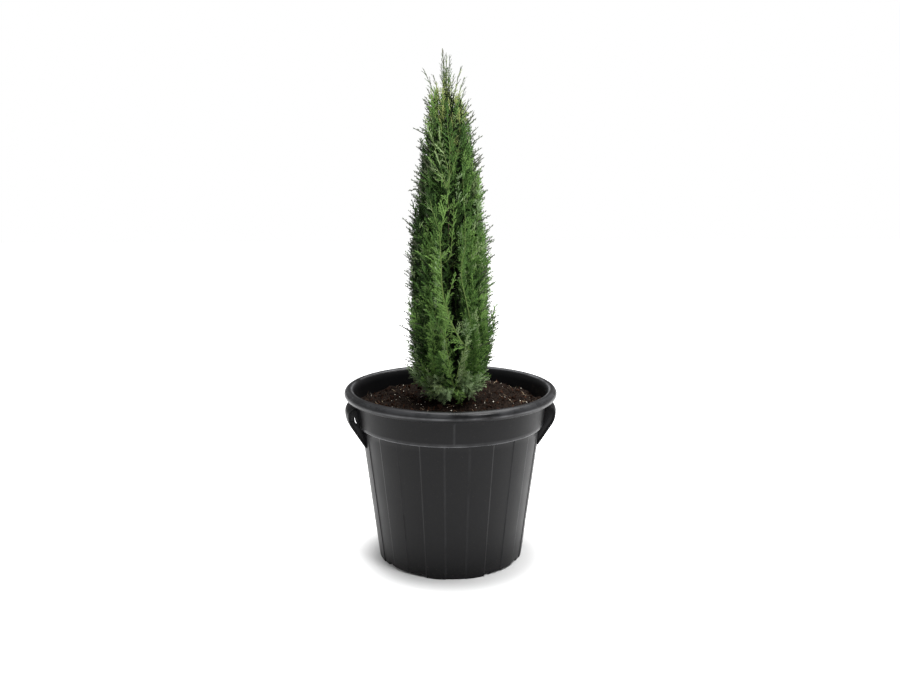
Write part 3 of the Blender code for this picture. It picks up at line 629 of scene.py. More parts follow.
def outward_faces(thing):
    shape = bmesh.new()
    shape.from_mesh(thing.data)
    bmesh.ops.recalc_face_normals(shape, faces=shape.faces)
    shape.to_mesh(thing.data)
    shape.free()
    return thing


def finish(piece, slot, *nodes):
    """A finished piece rides on the plant's one body and stands for its nodes."""
    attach(piece, "root")
    if nodes:
        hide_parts(*nodes)


def round_point(radius, degrees, height):
    turn = math.radians(degrees)
    return (radius * math.sin(turn), -radius * math.cos(turn), height)


# Materials


def start_material(name, colour, roughness, ior=1.5, specular=0.5):
    material = bpy.data.materials.new(name)
    material.use_nodes = True
    tree = material.node_tree
    shader = tree.nodes["Principled BSDF"]
    feed(tree, shader, {"Base Color": linear(colour), "Roughness": roughness, "IOR": ior,
                        "Specular IOR Level": specular})
    return material, tree, shader, (add(tree, "ShaderNodeTexCoord"), "Object")


def moulded_polypropylene():
    """Injection-moulded black polypropylene: a satin skin with a fine grain, faint upright flow lines,
    edges rubbed pale, pale lines painted as highlights along the collar's foot, the flute edges and the
    bead, and a little soil dust near the foot."""
    name = "moulded_black_polypropylene"
    material, tree, shader, place = start_material(name, "#0e0e0f", 0.42, 1.49, 0.16)
    cloud = add(tree, "ShaderNodeTexNoise", Vector=place, Scale=1 / 0.045, Detail=4.0)
    tint = add(tree, "ShaderNodeMix", data_type="RGBA", Factor=cloud, A=linear("#09090a"),
               B=linear("#101012"))
    speck = add(tree, "ShaderNodeTexNoise", Vector=place, Scale=1 / 0.0022, Detail=6.0)
    few = add(tree, "ShaderNodeMapRange", Value=speck, From_Min=0.60, From_Max=0.75)
    height = add(tree, "ShaderNodeSeparateXYZ", Vector=place)
    low = add(tree, "ShaderNodeMapRange", Value=(height, "Z"), From_Min=0.035, From_Max=0.0)
    dusty = ("MULTIPLY", few, ("MULTIPLY_ADD", low, 0.55, 0.10))
    dust = add(tree, "ShaderNodeMix", data_type="RGBA", Factor=dusty, A=tint, B=linear("#5c5249"))
    # The wall's pale marks: rubbing on the edges and the seam, and painted highlights on the collar's foot,
    # the flute edges and the bead
    highlit_and_rubbed = (add(tree, "ShaderNodeAttribute", attribute_name="worn"), "Fac")
    uneven = add(tree, "ShaderNodeMapRange", Value=cloud, From_Min=0.3, From_Max=0.6)
    edge = ("MULTIPLY", highlit_and_rubbed, uneven)
    # A pale grey for these marks, both rubbing and painted highlight
    highlight_and_wear_tint = add(tree, "ShaderNodeMix", data_type="RGBA", Factor=edge, A=dust, B=linear("#8c8d90"))
    satin = add(tree, "ShaderNodeMapRange", Value=cloud, To_Min=0.34, To_Max=0.50)
    smooth = add(tree, "ShaderNodeMapRange", Value=highlit_and_rubbed, From_Max=0.15, To_Max=0.20)
    upright = add(tree, "ShaderNodeMapping", Vector=place, Scale=(1.0, 1.0, 0.03))
    lines = add(tree, "ShaderNodeTexNoise", Vector=upright, Scale=1 / 0.004, Detail=3.0)
    grain = add(tree, "ShaderNodeTexNoise", Vector=place, Scale=1 / 0.0012, Detail=2.0)
    flow = add(tree, "ShaderNodeBump", Height=lines, Strength=0.10, Distance=0.0006)
    fine = add(tree, "ShaderNodeBump", Height=grain, Strength=0.16, Distance=0.0002, Normal=flow)
    feed(tree, shader, {"Base Color": highlight_and_wear_tint, "Roughness": ("SUBTRACT", satin, smooth), "Normal": fine})
    return material


def crumbly(name, dark, light, grain_size):
    """Loose organic matter: dull, mottled from grain to grain, with a rough broken surface."""
    material, tree, shader, place = start_material(name, dark, 0.95, specular=0.08)
    patches = add(tree, "ShaderNodeTexNoise", Vector=place, Scale=0.3 / grain_size, Detail=8.0)
    grains = add(tree, "ShaderNodeTexVoronoi", Vector=place, Scale=1 / grain_size)
    both = add(tree, "ShaderNodeMath", patches, grains, operation="MULTIPLY")
    share = add(tree, "ShaderNodeMapRange", Value=both, From_Min=0.08, From_Max=0.42)
    tint = add(tree, "ShaderNodeMix", data_type="RGBA", Factor=share, A=linear(dark), B=linear(light))
    bump = add(tree, "ShaderNodeBump", Height=both, Strength=0.8, Distance=0.4 * grain_size)
    feed(tree, shader, {"Base Color": tint, "Normal": bump})
    return material


def fibrous_bark():
    """Young cypress bark: thin upright fibres, grey-brown on red-brown, dull."""
    material, tree, shader, place = start_material("fibrous_bark", "#5a4536", 0.85)
    upright = add(tree, "ShaderNodeMapping", Vector=place, Scale=(1.0, 1.0, 0.12))
    fibres = add(tree, "ShaderNodeTexNoise", Vector=upright, Scale=1 / 0.0016, Detail=5.0)
    share = add(tree, "ShaderNodeMapRange", Value=fibres, From_Min=0.35, From_Max=0.65)
    tint = add(tree, "ShaderNodeMix", data_type="RGBA", Factor=share, A=linear("#2c1e16"),
               B=linear("#5a4839"))
    bump = add(tree, "ShaderNodeBump", Height=fibres, Strength=0.7, Distance=0.0006)
    feed(tree, shader, {"Base Color": tint, "Normal": bump})
    return material


def scale_leaf(shade, colour):
    """Cord-like shoots clad in tiny pressed scale leaves: a soft waxy green, pitted scale by scale.
    The scales are 1.5 mm here, a little coarse, so that they show."""
    material, tree, shader, place = start_material(f"scale_leaf_{shade}", colour, 0.55, 1.45, 0.20)
    scales = add(tree, "ShaderNodeTexVoronoi", Vector=place, Scale=1 / 0.0015)
    wax = add(tree, "ShaderNodeMapRange", Value=scales, To_Min=0.55, To_Max=0.75)
    bump = add(tree, "ShaderNodeBump", Height=scales, Strength=0.35, Distance=0.0004)
    feed(tree, shader, {"Roughness": wax, "Normal": bump})
    return material


def young_twig(name, colour):
    """The plumes' own stems: smooth young wood under a few dry scales, pale and matt."""
    material, tree, shader, place = start_material(name, colour, 0.6)
    rings = add(tree, "ShaderNodeTexNoise", Vector=place, Scale=1 / 0.0020, Detail=3.0)
    feed(tree, shader, {"Normal": add(tree, "ShaderNodeBump", Height=rings, Strength=0.4, Distance=0.0003)})
    return material


# Pot


def body_radius(height):
    return FOOT_RADIUS + BODY_SLOPE * height


def arc(centre, radius, start_deg, end_deg, steps):
    """Points along an arc, as radius and height. Degrees count up from level, outwards."""
    turns = [math.radians(start_deg + (end_deg - start_deg) * step / steps) for step in range(steps + 1)]
    return [(centre[0] + radius * math.cos(turn), centre[1] + radius * math.sin(turn)) for turn in turns]


def straight(start, end, steps):
    """Points between two ends, without the ends."""
    shares = [step / steps for step in range(1, steps)]
    return [tuple(a + (b - a) * share for a, b in zip(start, end)) for share in shares]


def wall_profile():
    """Half the pot's section, from the middle of the underside up the outside and down the inside.
    Each point has its radius, its height and how strongly the flutes show there."""
    fine_top, coarse_foot = ((body_radius(height), height) for height in (FINE_ROWS_TOP, COARSE_ROWS_FOOT))
    body_top = (body_radius(STEP_HEIGHT) - STEP_ROUND * BODY_SLOPE, STEP_HEIGHT - STEP_ROUND)
    collar_foot = (COLLAR_FOOT_RADIUS, STEP_HEIGHT + COLLAR_ROUND)
    collar_top = (COLLAR_TOP_RADIUS, COLLAR_TOP_HEIGHT - COLLAR_ROUND)
    inner_lip = (COLLAR_TOP_RADIUS - WALL, LIP_HEIGHT - WALL)
    inner_foot = (COLLAR_FOOT_RADIUS - WALL, STEP_HEIGHT + WALL / 2)
    inner_top = (body_radius(STEP_HEIGHT) - FLUTE_DEPTH - WALL, STEP_HEIGHT - WALL)
    inner_base = (FOOT_RADIUS - FLUTE_DEPTH - WALL, FLOOR_HEIGHT)
    middle, underside, ledge = (0.0, ARCH_HEIGHT), (UNDERSIDE_RADIUS, ARCH_HEIGHT), (FOOT_INNER_RADIUS, 0.0)
    stretches = (
        (0.0, [middle, *straight(middle, underside, 6), underside, ledge]),
        (0.0, straight(ledge, (FOOT_RADIUS - FOOT_ROUND, 0.0), 4)),
        (1.0, arc((FOOT_RADIUS - FOOT_ROUND, FOOT_ROUND), FOOT_ROUND, -90, -8, 4)),
        (1.0, straight((FOOT_RADIUS, FOOT_ROUND), fine_top, 6)),
        (1.0, [*straight(coarse_foot, body_top, 22), body_top]),
        (0.5, [(body_radius(STEP_HEIGHT) + STEP_NECK[0], STEP_HEIGHT - STEP_NECK[1])]),
        (0.0, [(COLLAR_FOOT_RADIUS - COLLAR_TURN_IN, STEP_HEIGHT)]),
        (0.0, arc((COLLAR_FOOT_RADIUS - COLLAR_ROUND, collar_foot[1]), COLLAR_ROUND, -90, 0, 5)),
        (0.0, [*straight(collar_foot, collar_top, 8), collar_top]),
        (0.0, [(COLLAR_TOP_RADIUS + BEAD_NECK, COLLAR_TOP_HEIGHT)]),
        (0.0, arc((BEAD_CENTRE_RADIUS, BEAD_CENTRE_HEIGHT), BEAD_RADIUS, -110, 150, 30)),
        (0.0, [(LIP_RADIUS - LIP_DROP[0], LIP_HEIGHT - LIP_DROP[1])]),
        (0.0, [inner_lip, *straight(inner_lip, inner_foot, 8)]),
        (0.0, [inner_foot, inner_top, *straight(inner_top, inner_base, 6), inner_base, (0.0, FLOOR_HEIGHT)]),
    )
    return [(*point, share) for share, points in stretches for point in points]


def edge_wear(radius, height):
    """How pale the wall is marked at a point of its section: along the collar's foot, a line of rubbing that
    is also a painted highlight, and on the bead, a painted reflection of the floor along its outermost line,
    a painted highlight on the inner edge of its top and a faint painted sheen on its upper face between."""
    out, up = radius - BEAD_CENTRE_RADIUS, height - BEAD_CENTRE_HEIGHT
    if abs(math.hypot(out, up) - BEAD_RADIUS) < ON_BEAD:
        turn = math.degrees(math.atan2(up, out))
        highlit_and_rubbed = [top * math.exp(-(((turn - middle) / half) ** ends))
                  for middle, half, ends, top in BEAD_HIGHLIGHTS]
        return max(highlit_and_rubbed)
    # The collar's foot: a pale line of rubbing that also stands as a painted highlight on its rounding
    over, half, strength = COLLAR_HIGHLIGHT_AND_WEAR
    if radius < COLLAR_FOOT_RADIUS - COLLAR_HIGHLIGHT_AND_WEAR_DEPTH:
        return 0.0
    return strength * math.exp(-(((height - STEP_HEIGHT - over) / half) ** 2))


def turned_wall(tree, given):
    """Turns a section round the upright axis, pressed in at the flutes and lifted at the arches."""
    rows, flutes, edge = (given, "Last Row"), (given, "Flutes"), (given, "Flute Edge")
    grid = add(tree, "GeometryNodeMeshGrid", Size_X=1.0, Size_Y=rows,
               Vertices_X=("ADD", (given, "Turns"), 1.0), Vertices_Y=("ADD", rows, 1.0))
    flat = add(tree, "ShaderNodeSeparateXYZ", Vector=add(tree, "GeometryNodeInputPosition"))
    row = ("ROUND", ("ADD", (flat, "Y"), ("MULTIPLY", rows, 0.5)))
    even = add(tree, "ShaderNodeMath", ("ADD", (flat, "X"), 0.5), 2 * math.pi, operation="MULTIPLY")
    waves = ("MULTIPLY", flutes, 2.0)
    crowd = ("MULTIPLY", ("SINE", ("MULTIPLY", even, waves)), (given, "Angle Crowding"))
    angle = add(tree, "ShaderNodeMath", even, ("DIVIDE", crowd, waves), operation="ADD")

    point = add(tree, "GeometryNodeSampleIndex", data_type="FLOAT_VECTOR", Geometry=(given, "Geometry"),
                Value=add(tree, "GeometryNodeInputPosition"), Index=row)
    wear = add(tree, "GeometryNodeInputNamedAttribute", data_type="FLOAT", Name="edge_share")
    edges = add(tree, "GeometryNodeSampleIndex", data_type="FLOAT", Geometry=(given, "Geometry"),
                Value=wear, Index=row)
    section = add(tree, "ShaderNodeSeparateXYZ", Vector=point)
    fluted = (section, "Z")

    ripple = add(tree, "ShaderNodeMath", ("MULTIPLY", angle, flutes), operation="COSINE")
    sunk = add(tree, "ShaderNodeMapRange", interpolation_type="SMOOTHSTEP", Value=ripple,
               From_Min=("MULTIPLY", edge, -1.0), From_Max=edge, To_Max=(given, "Flute Depth"))
    # Pale lines along the flute edges: partly rubbing, partly a painted highlight of the edges
    near_edge = add(tree, "ShaderNodeMapRange", Value=("ABSOLUTE", ripple), From_Min=FLUTE_HIGHLIGHT_AND_WEAR_EDGE[0],
                    From_Max=FLUTE_HIGHLIGHT_AND_WEAR_EDGE[1])
    highlit_and_rubbed = ("MULTIPLY", ("MULTIPLY", near_edge, fluted), FLUTE_HIGHLIGHT_AND_WEAR)
    from_seam = ("PINGPONG", ("ADD", ("DEGREES", angle), SEAM_DEG), 90.0)
    seam = add(tree, "ShaderNodeMapRange", Value=from_seam, From_Min=SEAM_HALF_DEGS[0],
               From_Max=SEAM_HALF_DEGS[1], To_Max=SEAM_WEAR)
    on_collar = ("COMPARE", (section, "X"), (COLLAR_FOOT_RADIUS + COLLAR_TOP_RADIUS) / 2,
                 (COLLAR_TOP_RADIUS - COLLAR_FOOT_RADIUS) / 2)
    worn = ("MAXIMUM", ("MAXIMUM", highlit_and_rubbed, edges), ("MULTIPLY", seam, on_collar))
    pressed = ("MULTIPLY", sunk, fluted)
    radius = add(tree, "ShaderNodeMath", (section, "X"), pressed, operation="SUBTRACT")

    folded = add(tree, "ShaderNodeMath", ("DEGREES", angle), 90.0, operation="PINGPONG")
    notches = [(middle - NOTCH_HALF_DEG, middle + NOTCH_HALF_DEG, "Notch Height") for middle in NOTCH_DEGS]
    lift = 0.0
    for start_deg, end_deg, height in ((ARCH_START_DEG, ARCH_END_DEG, "Arch Height"), *notches):
        rise, fall = (
            add(tree, "ShaderNodeMapRange", interpolation_type="SMOOTHSTEP", Value=folded,
                From_Min=side - slope_deg, From_Max=side + slope_deg)
            for side, slope_deg in ((start_deg, ARCH_SIDE_DEG), (end_deg, -ARCH_SIDE_DEG))
        )
        lift = ("ADD", lift, ("MULTIPLY", ("MULTIPLY", rise, fall), (given, height)))
    fade = add(tree, "ShaderNodeMapRange", Value=(section, "Y"), From_Min=ARCH_FADE_HEIGHT, From_Max=0.0)
    is_outside = ("GREATER_THAN", (section, "X"), (UNDERSIDE_RADIUS + FOOT_INNER_RADIUS) / 2)
    height = ("ADD", (section, "Y"), ("MULTIPLY", ("MULTIPLY", lift, fade), is_outside))

    place = add(tree, "ShaderNodeCombineXYZ", ("MULTIPLY", radius, ("SINE", angle)),
                ("MULTIPLY", ("MULTIPLY", radius, ("COSINE", angle)), -1.0), height)
    wave = add(tree, "ShaderNodeTexNoise", Vector=place, Scale=WAVES_A_METRE, Detail=1.0)
    inward = ("MULTIPLY", wave, ("MULTIPLY", (given, "Wave"), -1.0))
    level = add(tree, "ShaderNodeVectorMath", place, (1.0, 1.0, 0.0), operation="MULTIPLY")
    away = add(tree, "ShaderNodeVectorMath", level, operation="NORMALIZE")
    shift = add(tree, "ShaderNodeVectorMath", away, operation="SCALE", Scale=inward)
    moved = add(tree, "ShaderNodeVectorMath", place, shift, operation="ADD")
    marked = add(tree, "GeometryNodeStoreNamedAttribute", data_type="FLOAT", domain="POINT",
                 Geometry=grid, Name="worn", Value=worn)
    wall = add(tree, "GeometryNodeSetPosition", Geometry=marked, Position=moved)
    closed = add(tree, "GeometryNodeMergeByDistance", Geometry=wall, Distance=SAME_POINT)
    return add(tree, "GeometryNodeSetShadeSmooth", Geometry=closed)


def make_pot(material):
    outline = wall_profile()
    pot = mesh_object("pot_wall", outline, [], [(row, row + 1) for row in range(len(outline) - 1)])
    give_values(pot, "edge_share", [edge_wear(radius, height) for radius, height, share in outline])
    run_tree(pot, turned_wall, {
        "Turns": WALL_TURNS,
        "Last Row": len(outline) - 1,
        "Flutes": FLUTES,
        "Flute Depth": FLUTE_DEPTH,
        "Flute Edge": FLUTE_EDGE,
        "Angle Crowding": ANGLE_CROWDING,
        "Arch Height": ARCH_HEIGHT,
        "Notch Height": NOTCH_HEIGHT,
        "Wave": WALL_WAVE,
        "Material": material,
    })
    outward_faces(pot)
    pot.data.set_sharp_from_angle(angle=math.radians(POT_SHARP_DEG))
    finish(pot, "black_plastic", "pot")


# Ear handles


def ear_edge(height, inset=0.0):
    """The ear's outer edge: leaning below, bowed above."""
    lean = math.radians(EAR_LEAN_DEG)
    reach = BOW_ROUND - inset
    centre = EAR_REACH - BOW_ROUND
    start_height = CORNER_HEIGHT - reach * math.sin(lean)
    if height > start_height:
        return centre + math.sqrt(reach**2 - (height - CORNER_HEIGHT) ** 2)
    return centre + reach * math.cos(lean) + (height - start_height) * math.tan(lean)


def ear_path(lowest, inset):
    """Up the ear's leaning and bowed edge, round its corner and along its sloping top to the wall."""
    bow_centre = (EAR_REACH - BOW_ROUND, CORNER_HEIGHT)
    bow = arc(bow_centre, BOW_ROUND - inset, -EAR_LEAN_DEG, 0.0, CORNER_STEPS)[:-1]
    corner_centre = (EAR_REACH - CORNER_ROUND, CORNER_HEIGHT)
    corner = arc(corner_centre, CORNER_ROUND - inset, 0.0, EAR_SHOULDER_DEG, CORNER_STEPS)
    radius, height = corner[-1]
    run = radius - (COLLAR_TOP_RADIUS - EAR_TOP_SINK)
    last = (radius - run, height + run / math.tan(math.radians(EAR_SHOULDER_DEG)))
    above = [point for point in bow if point[1] > lowest + POINT_ROOM]
    return [(ear_edge(lowest, inset), lowest), *above, *corner, last]


def band_outline(lowest):
    return ear_path(lowest, 0.0) + ear_path(lowest, GRIP_THICKNESS)[::-1]


def radial_ring(outline, degrees, off=0.0):
    """An outline stood up on the pot's wall at a turn, and moved off it sideways."""
    x, y = math.cos(math.radians(degrees)), math.sin(math.radians(degrees))
    return [(radius * x - off * y, radius * y + off * x, height) for radius, height in outline]


def web_outlines(is_slotted):
    """The web as one plate, or as two, below and above the middle of its slot, with half of it cut out."""
    edge = ear_path(EAR_FOOT_HEIGHT, GRIP_THICKNESS / 2)
    slope = (COLLAR_TOP_RADIUS - COLLAR_FOOT_RADIUS) / (COLLAR_TOP_HEIGHT - STEP_HEIGHT)
    middle = SLOT_HEIGHT
    root = [
        (COLLAR_FOOT_RADIUS - EAR_SINK, STEP_HEIGHT + GAP),
        (body_radius(STEP_HEIGHT) - EAR_SINK, STEP_HEIGHT + GAP),
        (body_radius(EAR_FOOT_HEIGHT) - EAR_SINK, EAR_FOOT_HEIGHT),
    ]

    def collar_edge(height):
        return (COLLAR_FOOT_RADIUS - EAR_SINK + slope * (height - STEP_HEIGHT), height)

    def half_slot(end):
        inner, outer = SLOT_INSET + SLOT_WIDTH / 2, SLOT_INSET - SLOT_WIDTH / 2
        corners = ((middle, outer), (end, outer), (end, inner), (middle, inner))
        return [(ear_edge(height, inset), height) for height, inset in corners]

    top = collar_edge(COLLAR_TOP_HEIGHT - GAP)
    if not is_slotted:
        return [[*edge[:-1], top, *root]]
    split = (ear_edge(middle, GRIP_THICKNESS / 2), middle)
    below = [point for point in edge if point[1] < middle - POINT_ROOM]
    above = [point for point in edge[:-1] if point[1] > middle + POINT_ROOM]
    lower = [*below, split, *half_slot(middle - SLOT_LENGTH / 2), collar_edge(middle), *root]
    upper = [split, *above, top, collar_edge(middle), *half_slot(middle + SLOT_LENGTH / 2)[::-1]]
    return lower, upper


def make_handle(name, side, material):
    """A grip bent round the pot and two webs with a bead along their outer edges. Only the left ear's
    webs are slotted."""
    band = band_outline(GRIP_LOW_HEIGHT)
    turns = [EAR_HALF_DEG * (2 * step / GRIP_STEPS - 1) for step in range(GRIP_STEPS + 1)]
    shapes = [lofted([radial_ring(band, degrees) for degrees in turns])]
    plates = [(outline, WEB_THICKNESS) for outline in web_outlines(side < 0)]
    plates.append((band_outline(EAR_FOOT_HEIGHT + POINT_ROOM), FLANGE_WIDTH))
    for degrees in (-EAR_HALF_DEG, EAR_HALF_DEG):
        for outline, width in plates:
            shapes.append(lofted([radial_ring(outline, degrees, off) for off in (-width / 2, width / 2)]))
    points, faces = joined(shapes)
    if side < 0:
        points = [(-x, -y, z) for x, y, z in points]
    handle = outward_faces(mesh_object(name, points, faces, material=material))
    bevel = handle.modifiers.new("edge_round", "BEVEL")
    bevel.width = EAR_EDGE_ROUND
    bevel.segments = 2
    bevel.limit_method = "ANGLE"
    bevel.angle_limit = math.radians(EAR_ROUND_FROM_DEG)
    applied(handle)
    handle.data.set_sharp_from_angle(angle=math.radians(EAR_SHARP_DEG))
    finish(handle, "black_plastic", name.replace("ear_", "handle_"))


# Soil


def soil_height(x, y):
    """The soil's surface: raked a little lower at the wall, lumpy, with crumbs on it."""
    middle_x, middle_y, reach, rise = MOUND
    height = SOIL_HEIGHT - SOIL_DIP * (math.hypot(x, y) / SOIL_RADIUS) ** 2
    mound = rise * math.exp(-(((x - middle_x) ** 2 + (y - middle_y) ** 2) / reach**2))
    lumps = LUMPS[1] * noise.noise(Vector((x, y, 0.0)) / LUMPS[0])
    clods = CLODS[1] * abs(noise.noise(Vector((x, y, 0.3)) / CLODS[0]))
    crumbs = CRUMBS[1] * noise.noise(Vector((x, y, 0.7)) / CRUMBS[0])
    return height + mound + lumps + clods + crumbs - SOIL_SETTLING


def make_soil(material):
    """The soil's bed: rings of its surface from the middle out, and a last one below the outermost."""
    points = [(0.0, 0.0, soil_height(0.0, 0.0))]
    for ring in range(1, SOIL_RINGS + 2):
        radius = SOIL_RADIUS * min(ring, SOIL_RINGS) / SOIL_RINGS
        depth = SOIL_DEPTH if ring > SOIL_RINGS else 0.0
        for step in range(SOIL_SEGMENTS):
            x, y, _ = round_point(radius, 360 * step / SOIL_SEGMENTS, 0.0)
            points.append((x, y, soil_height(x, y) - depth))
    faces = [(0, 1 + step, 1 + (step + 1) % SOIL_SEGMENTS) for step in range(SOIL_SEGMENTS)]
    faces += ring_faces(1, SOIL_RINGS + 1, SOIL_SEGMENTS)
    faces.append(tuple(reversed(range(len(points) - SOIL_SEGMENTS, len(points)))))
    soil = outward_faces(mesh_object("soil_bed", points, faces, material=material))
    finish(soil, "potting_soil", "soil")


def strewn_bits(tree, given):
    """Strews small shapes over a surface, each turned and sized at random."""
    seed, full = (given, "Seed"), 2 * math.pi
    spread = add(tree, "GeometryNodeDistributePointsOnFaces", Mesh=(given, "Geometry"),
                 Density=(given, "Density"), Seed=seed)
    bits = add(tree, "GeometryNodeCollectionInfo", Collection=(given, "Bits"), Separate_Children=True,
               Reset_Children=True)
    turn = add(tree, "FunctionNodeRandomValue", data_type="FLOAT_VECTOR", Max=(full, full, full), Seed=seed)
    size = add(tree, "FunctionNodeRandomValue", data_type="FLOAT", Min=(given, "Smallest"),
               Max=(given, "Largest"), Seed=seed)
    return add(tree, "GeometryNodeInstanceOnPoints", Points=spread, Instance=bits, Pick_Instance=True,
               Rotation=add(tree, "FunctionNodeEulerToRotation", Euler=turn), Scale=size)


def bit_shapes(name):
    """A few irregular bits, each a pinched and dented ball a metre across, kept in a collection."""
    proportions, roundness, variants = BIT_SHAPES[name]
    chance = random.Random(name)
    group = bpy.data.collections.new(name)
    for number in range(variants):
        shape = bmesh.new()
        bmesh.ops.create_icosphere(shape, subdivisions=1, radius=0.5)
        for vertex in shape.verts:
            dent = 1 - (1 - roundness) * chance.random()
            vertex.co = Vector(v * p for v, p in zip(vertex.co * dent, proportions))
        mesh = bpy.data.meshes.new(f"{name}_{number}")
        shape.to_mesh(mesh)
        shape.free()
        group.objects.link(bpy.data.objects.new(mesh.name, mesh))
    return group


def strew(name, group, density, smallest, largest, seed, material):
    """One kind of bit over the soil between the trunk's foot and the wall, lifted onto its surface."""
    turns = [360 * step / STREWN_STEPS for step in range(STREWN_STEPS)]
    points = [round_point(radius, degrees, 0.0) for radius in STREWN_RADII for degrees in turns]
    bits = mesh_object(name, points, ring_faces(0, len(STREWN_RADII), STREWN_STEPS))
    run_tree(bits, strewn_bits, {
        "Density": density, "Seed": seed, "Smallest": smallest, "Largest": largest,
        "Bits": group, "Material": material})
    for vertex in bits.data.vertices:
        vertex.co.z += soil_height(vertex.co.x, vertex.co.y) + BIT_LIFT * smallest
    finish(bits, "potting_soil")


# Trunk, boughs and stems


def trunk_centre(height):
    share = min(max((height - TRUNK_FOOT_HEIGHT) / (PLANT_TOP - TRUNK_FOOT_HEIGHT), 0.0), 1.0)
    foot = (1 - share) ** 2
    x = TRUNK_FOOT_OFFSET[0] * foot + LEADER_LEAN * share**4
    y = TRUNK_FOOT_OFFSET[1] * foot + TRUNK_SWEEP * math.sin(math.pi * share)
    return Vector((x, y, height))


def trunk_radius(height):
    share = (height - TRUNK_FOOT_HEIGHT) / (TRUNK_TIP_HEIGHT - TRUNK_FOOT_HEIGHT)
    return TRUNK_TIP_RADIUS + (TRUNK_RADIUS - TRUNK_TIP_RADIUS) * max(0.0, 1 - share) ** TRUNK_TAPER


def bark_sink(point):
    """How far the bark lies below the limb's full radius: upright fibres and cracks."""
    stretched = Vector((point.x, point.y, BARK_STRETCH * point.z)) / BARK_FIBRE
    return BARK_RELIEF * (0.5 + 0.5 * noise.noise(stretched))


def make_trunk(material):
    rings = []
    for station in range(TRUNK_STATIONS + 1):
        rise = (TRUNK_TIP_HEIGHT - TRUNK_FOOT_HEIGHT) * (station / TRUNK_STATIONS) ** STATION_CROWDING
        centre = trunk_centre(TRUNK_FOOT_HEIGHT + rise)
        flare = FLARE * math.exp(-rise / FLARE_HEIGHT)
        ring = []
        for side in range(TRUNK_SIDES):
            turn = 2 * math.pi * side / TRUNK_SIDES
            outward = Vector((math.cos(turn), math.sin(turn), 0))
            radius = trunk_radius(centre.z) + flare * (1 + FLARE_LOBE_DEPTH * math.cos(FLARE_LOBES * turn))
            sink = bark_sink(centre + outward * radius) * radius / TRUNK_RADIUS
            ring.append(centre + outward * (radius - sink))
        rings.append(ring)
    finish(mesh_object("trunk_bark", *lofted(rings), material=material), "bark", "trunk")


def curve_point(start, bend, end, share):
    return (1 - share) ** 2 * start + 2 * share * (1 - share) * bend + share**2 * end


def barked_tube(centres, radii):
    """A closed limb through these centres, with half the trunk's bark relief."""
    rings = []
    across = None
    for index, centre in enumerate(centres):
        ahead = centres[min(index + 1, len(centres) - 1)] - centres[max(index - 1, 0)]
        ahead.normalize()
        if across is None:
            across = ahead.orthogonal().normalized()
        across = (across - ahead * across.dot(ahead)).normalized()
        other = ahead.cross(across)
        ring = []
        for side in range(BOUGH_SIDES):
            turn = 2 * math.pi * side / BOUGH_SIDES
            outward = math.cos(turn) * across + math.sin(turn) * other
            radius = radii[index]
            radius -= 0.5 * bark_sink(centre + outward * radius) * radius / BOUGH_RADIUS
            ring.append(centre + radius * outward)
        rings.append(ring)
    return lofted(rings)


# Crown


def crown_centre_x(height):
    lean = trunk_centre(height).x - FOOT_OFFSET_SHARE * TRUNK_FOOT_OFFSET[0]
    return CROWN_CENTRE_X + CROWN_LEAN_SHARE * lean


def crown_radius(height):
    """How far the tips reach at a height: a slim flame, drawn in at the foot."""
    share = (height - CROWN_FOOT) / (PLANT_TOP - CROWN_FOOT)
    if not 0.0 < share < 1.0:
        return 0.0
    body = (share / WIDEST_AT) ** (WIDEST_AT / (1 - WIDEST_AT)) * (1 - share) / (1 - WIDEST_AT)
    foot = 1 - FOOT_DRAW_IN * math.exp(-(height - CROWN_FOOT) / FOOT_DRAW_HEIGHT)
    return CROWN_REACH * body**OUTLINE_POWER * foot


def crown_point(reach_share, degrees, height):
    x, y, z = round_point(reach_share * crown_radius(height), degrees, height)
    return Vector((x + crown_centre_x(height), y, z))


def fill_share(height):
    """The share of the crown's reach that its dense growth fills. Above, only single tips go beyond."""
    return float(np.interp(height, FILL_HEIGHTS, FILL_SHARES))


@dataclass
class Mass:
    """One mass of foliage: its tier, the way it faces, its seat in the crown, its stem's path, the
    stoutness of its wood and the stretch of the path that lies in its own space."""

    name: str
    tier: int
    degrees: float
    outward: tuple
    seat: Vector
    path: tuple
    stoutness: float
    span: tuple = (0.0, 1.0)

    def stem_point(self, share):
        low, high = self.span
        return curve_point(*self.path, low + share * (high - low))

    def bough_centres(self):
        """The bough that carries the stem, from the trunk to the stem's foot."""
        tip = self.stem_point(0.0)
        root = trunk_centre(max(tip.z - BOUGH_RISE * math.hypot(tip.x, tip.y), LOWEST_BOUGH))
        bend = tip.lerp(root, BOUGH_BEND_SHARE)
        bend.z -= BOUGH_SAG * (tip.z - root.z)
        return [curve_point(root, bend, tip, step / (BOUGH_STATIONS - 1)) for step in range(BOUGH_STATIONS)]


def stem_span(masses, mass):
    """The stretch of a stem's path that lies inside its mass's own space, as two shares."""
    shares = np.linspace(0.0, 1.0, 101)
    points = np.array([curve_point(*mass.path, share) for share in shares])
    seat = np.array(mass.seat)
    room = np.full(len(points), 1.0)
    for other in masses:
        if other is mass:
            continue
        outward = np.array(mass.outward) + np.array(other.outward)
        outward /= max(1.0, np.linalg.norm(outward))
        lift = HEIGHT_WEIGHT * np.array([*(-SPACE_SLOPE * outward), 1.0])
        apart = np.array(other.seat) - seat
        wall = np.array([apart[0], apart[1], 0.0]) + lift * (lift @ apart)
        reach = (0.5 * apart - (points - seat)) @ wall
        room = np.minimum(room, reach / np.linalg.norm(wall))
    inside = shares[room - SPACE_MARGIN > STEM_MARGIN]
    return float(inside[0]), float(inside[-1])


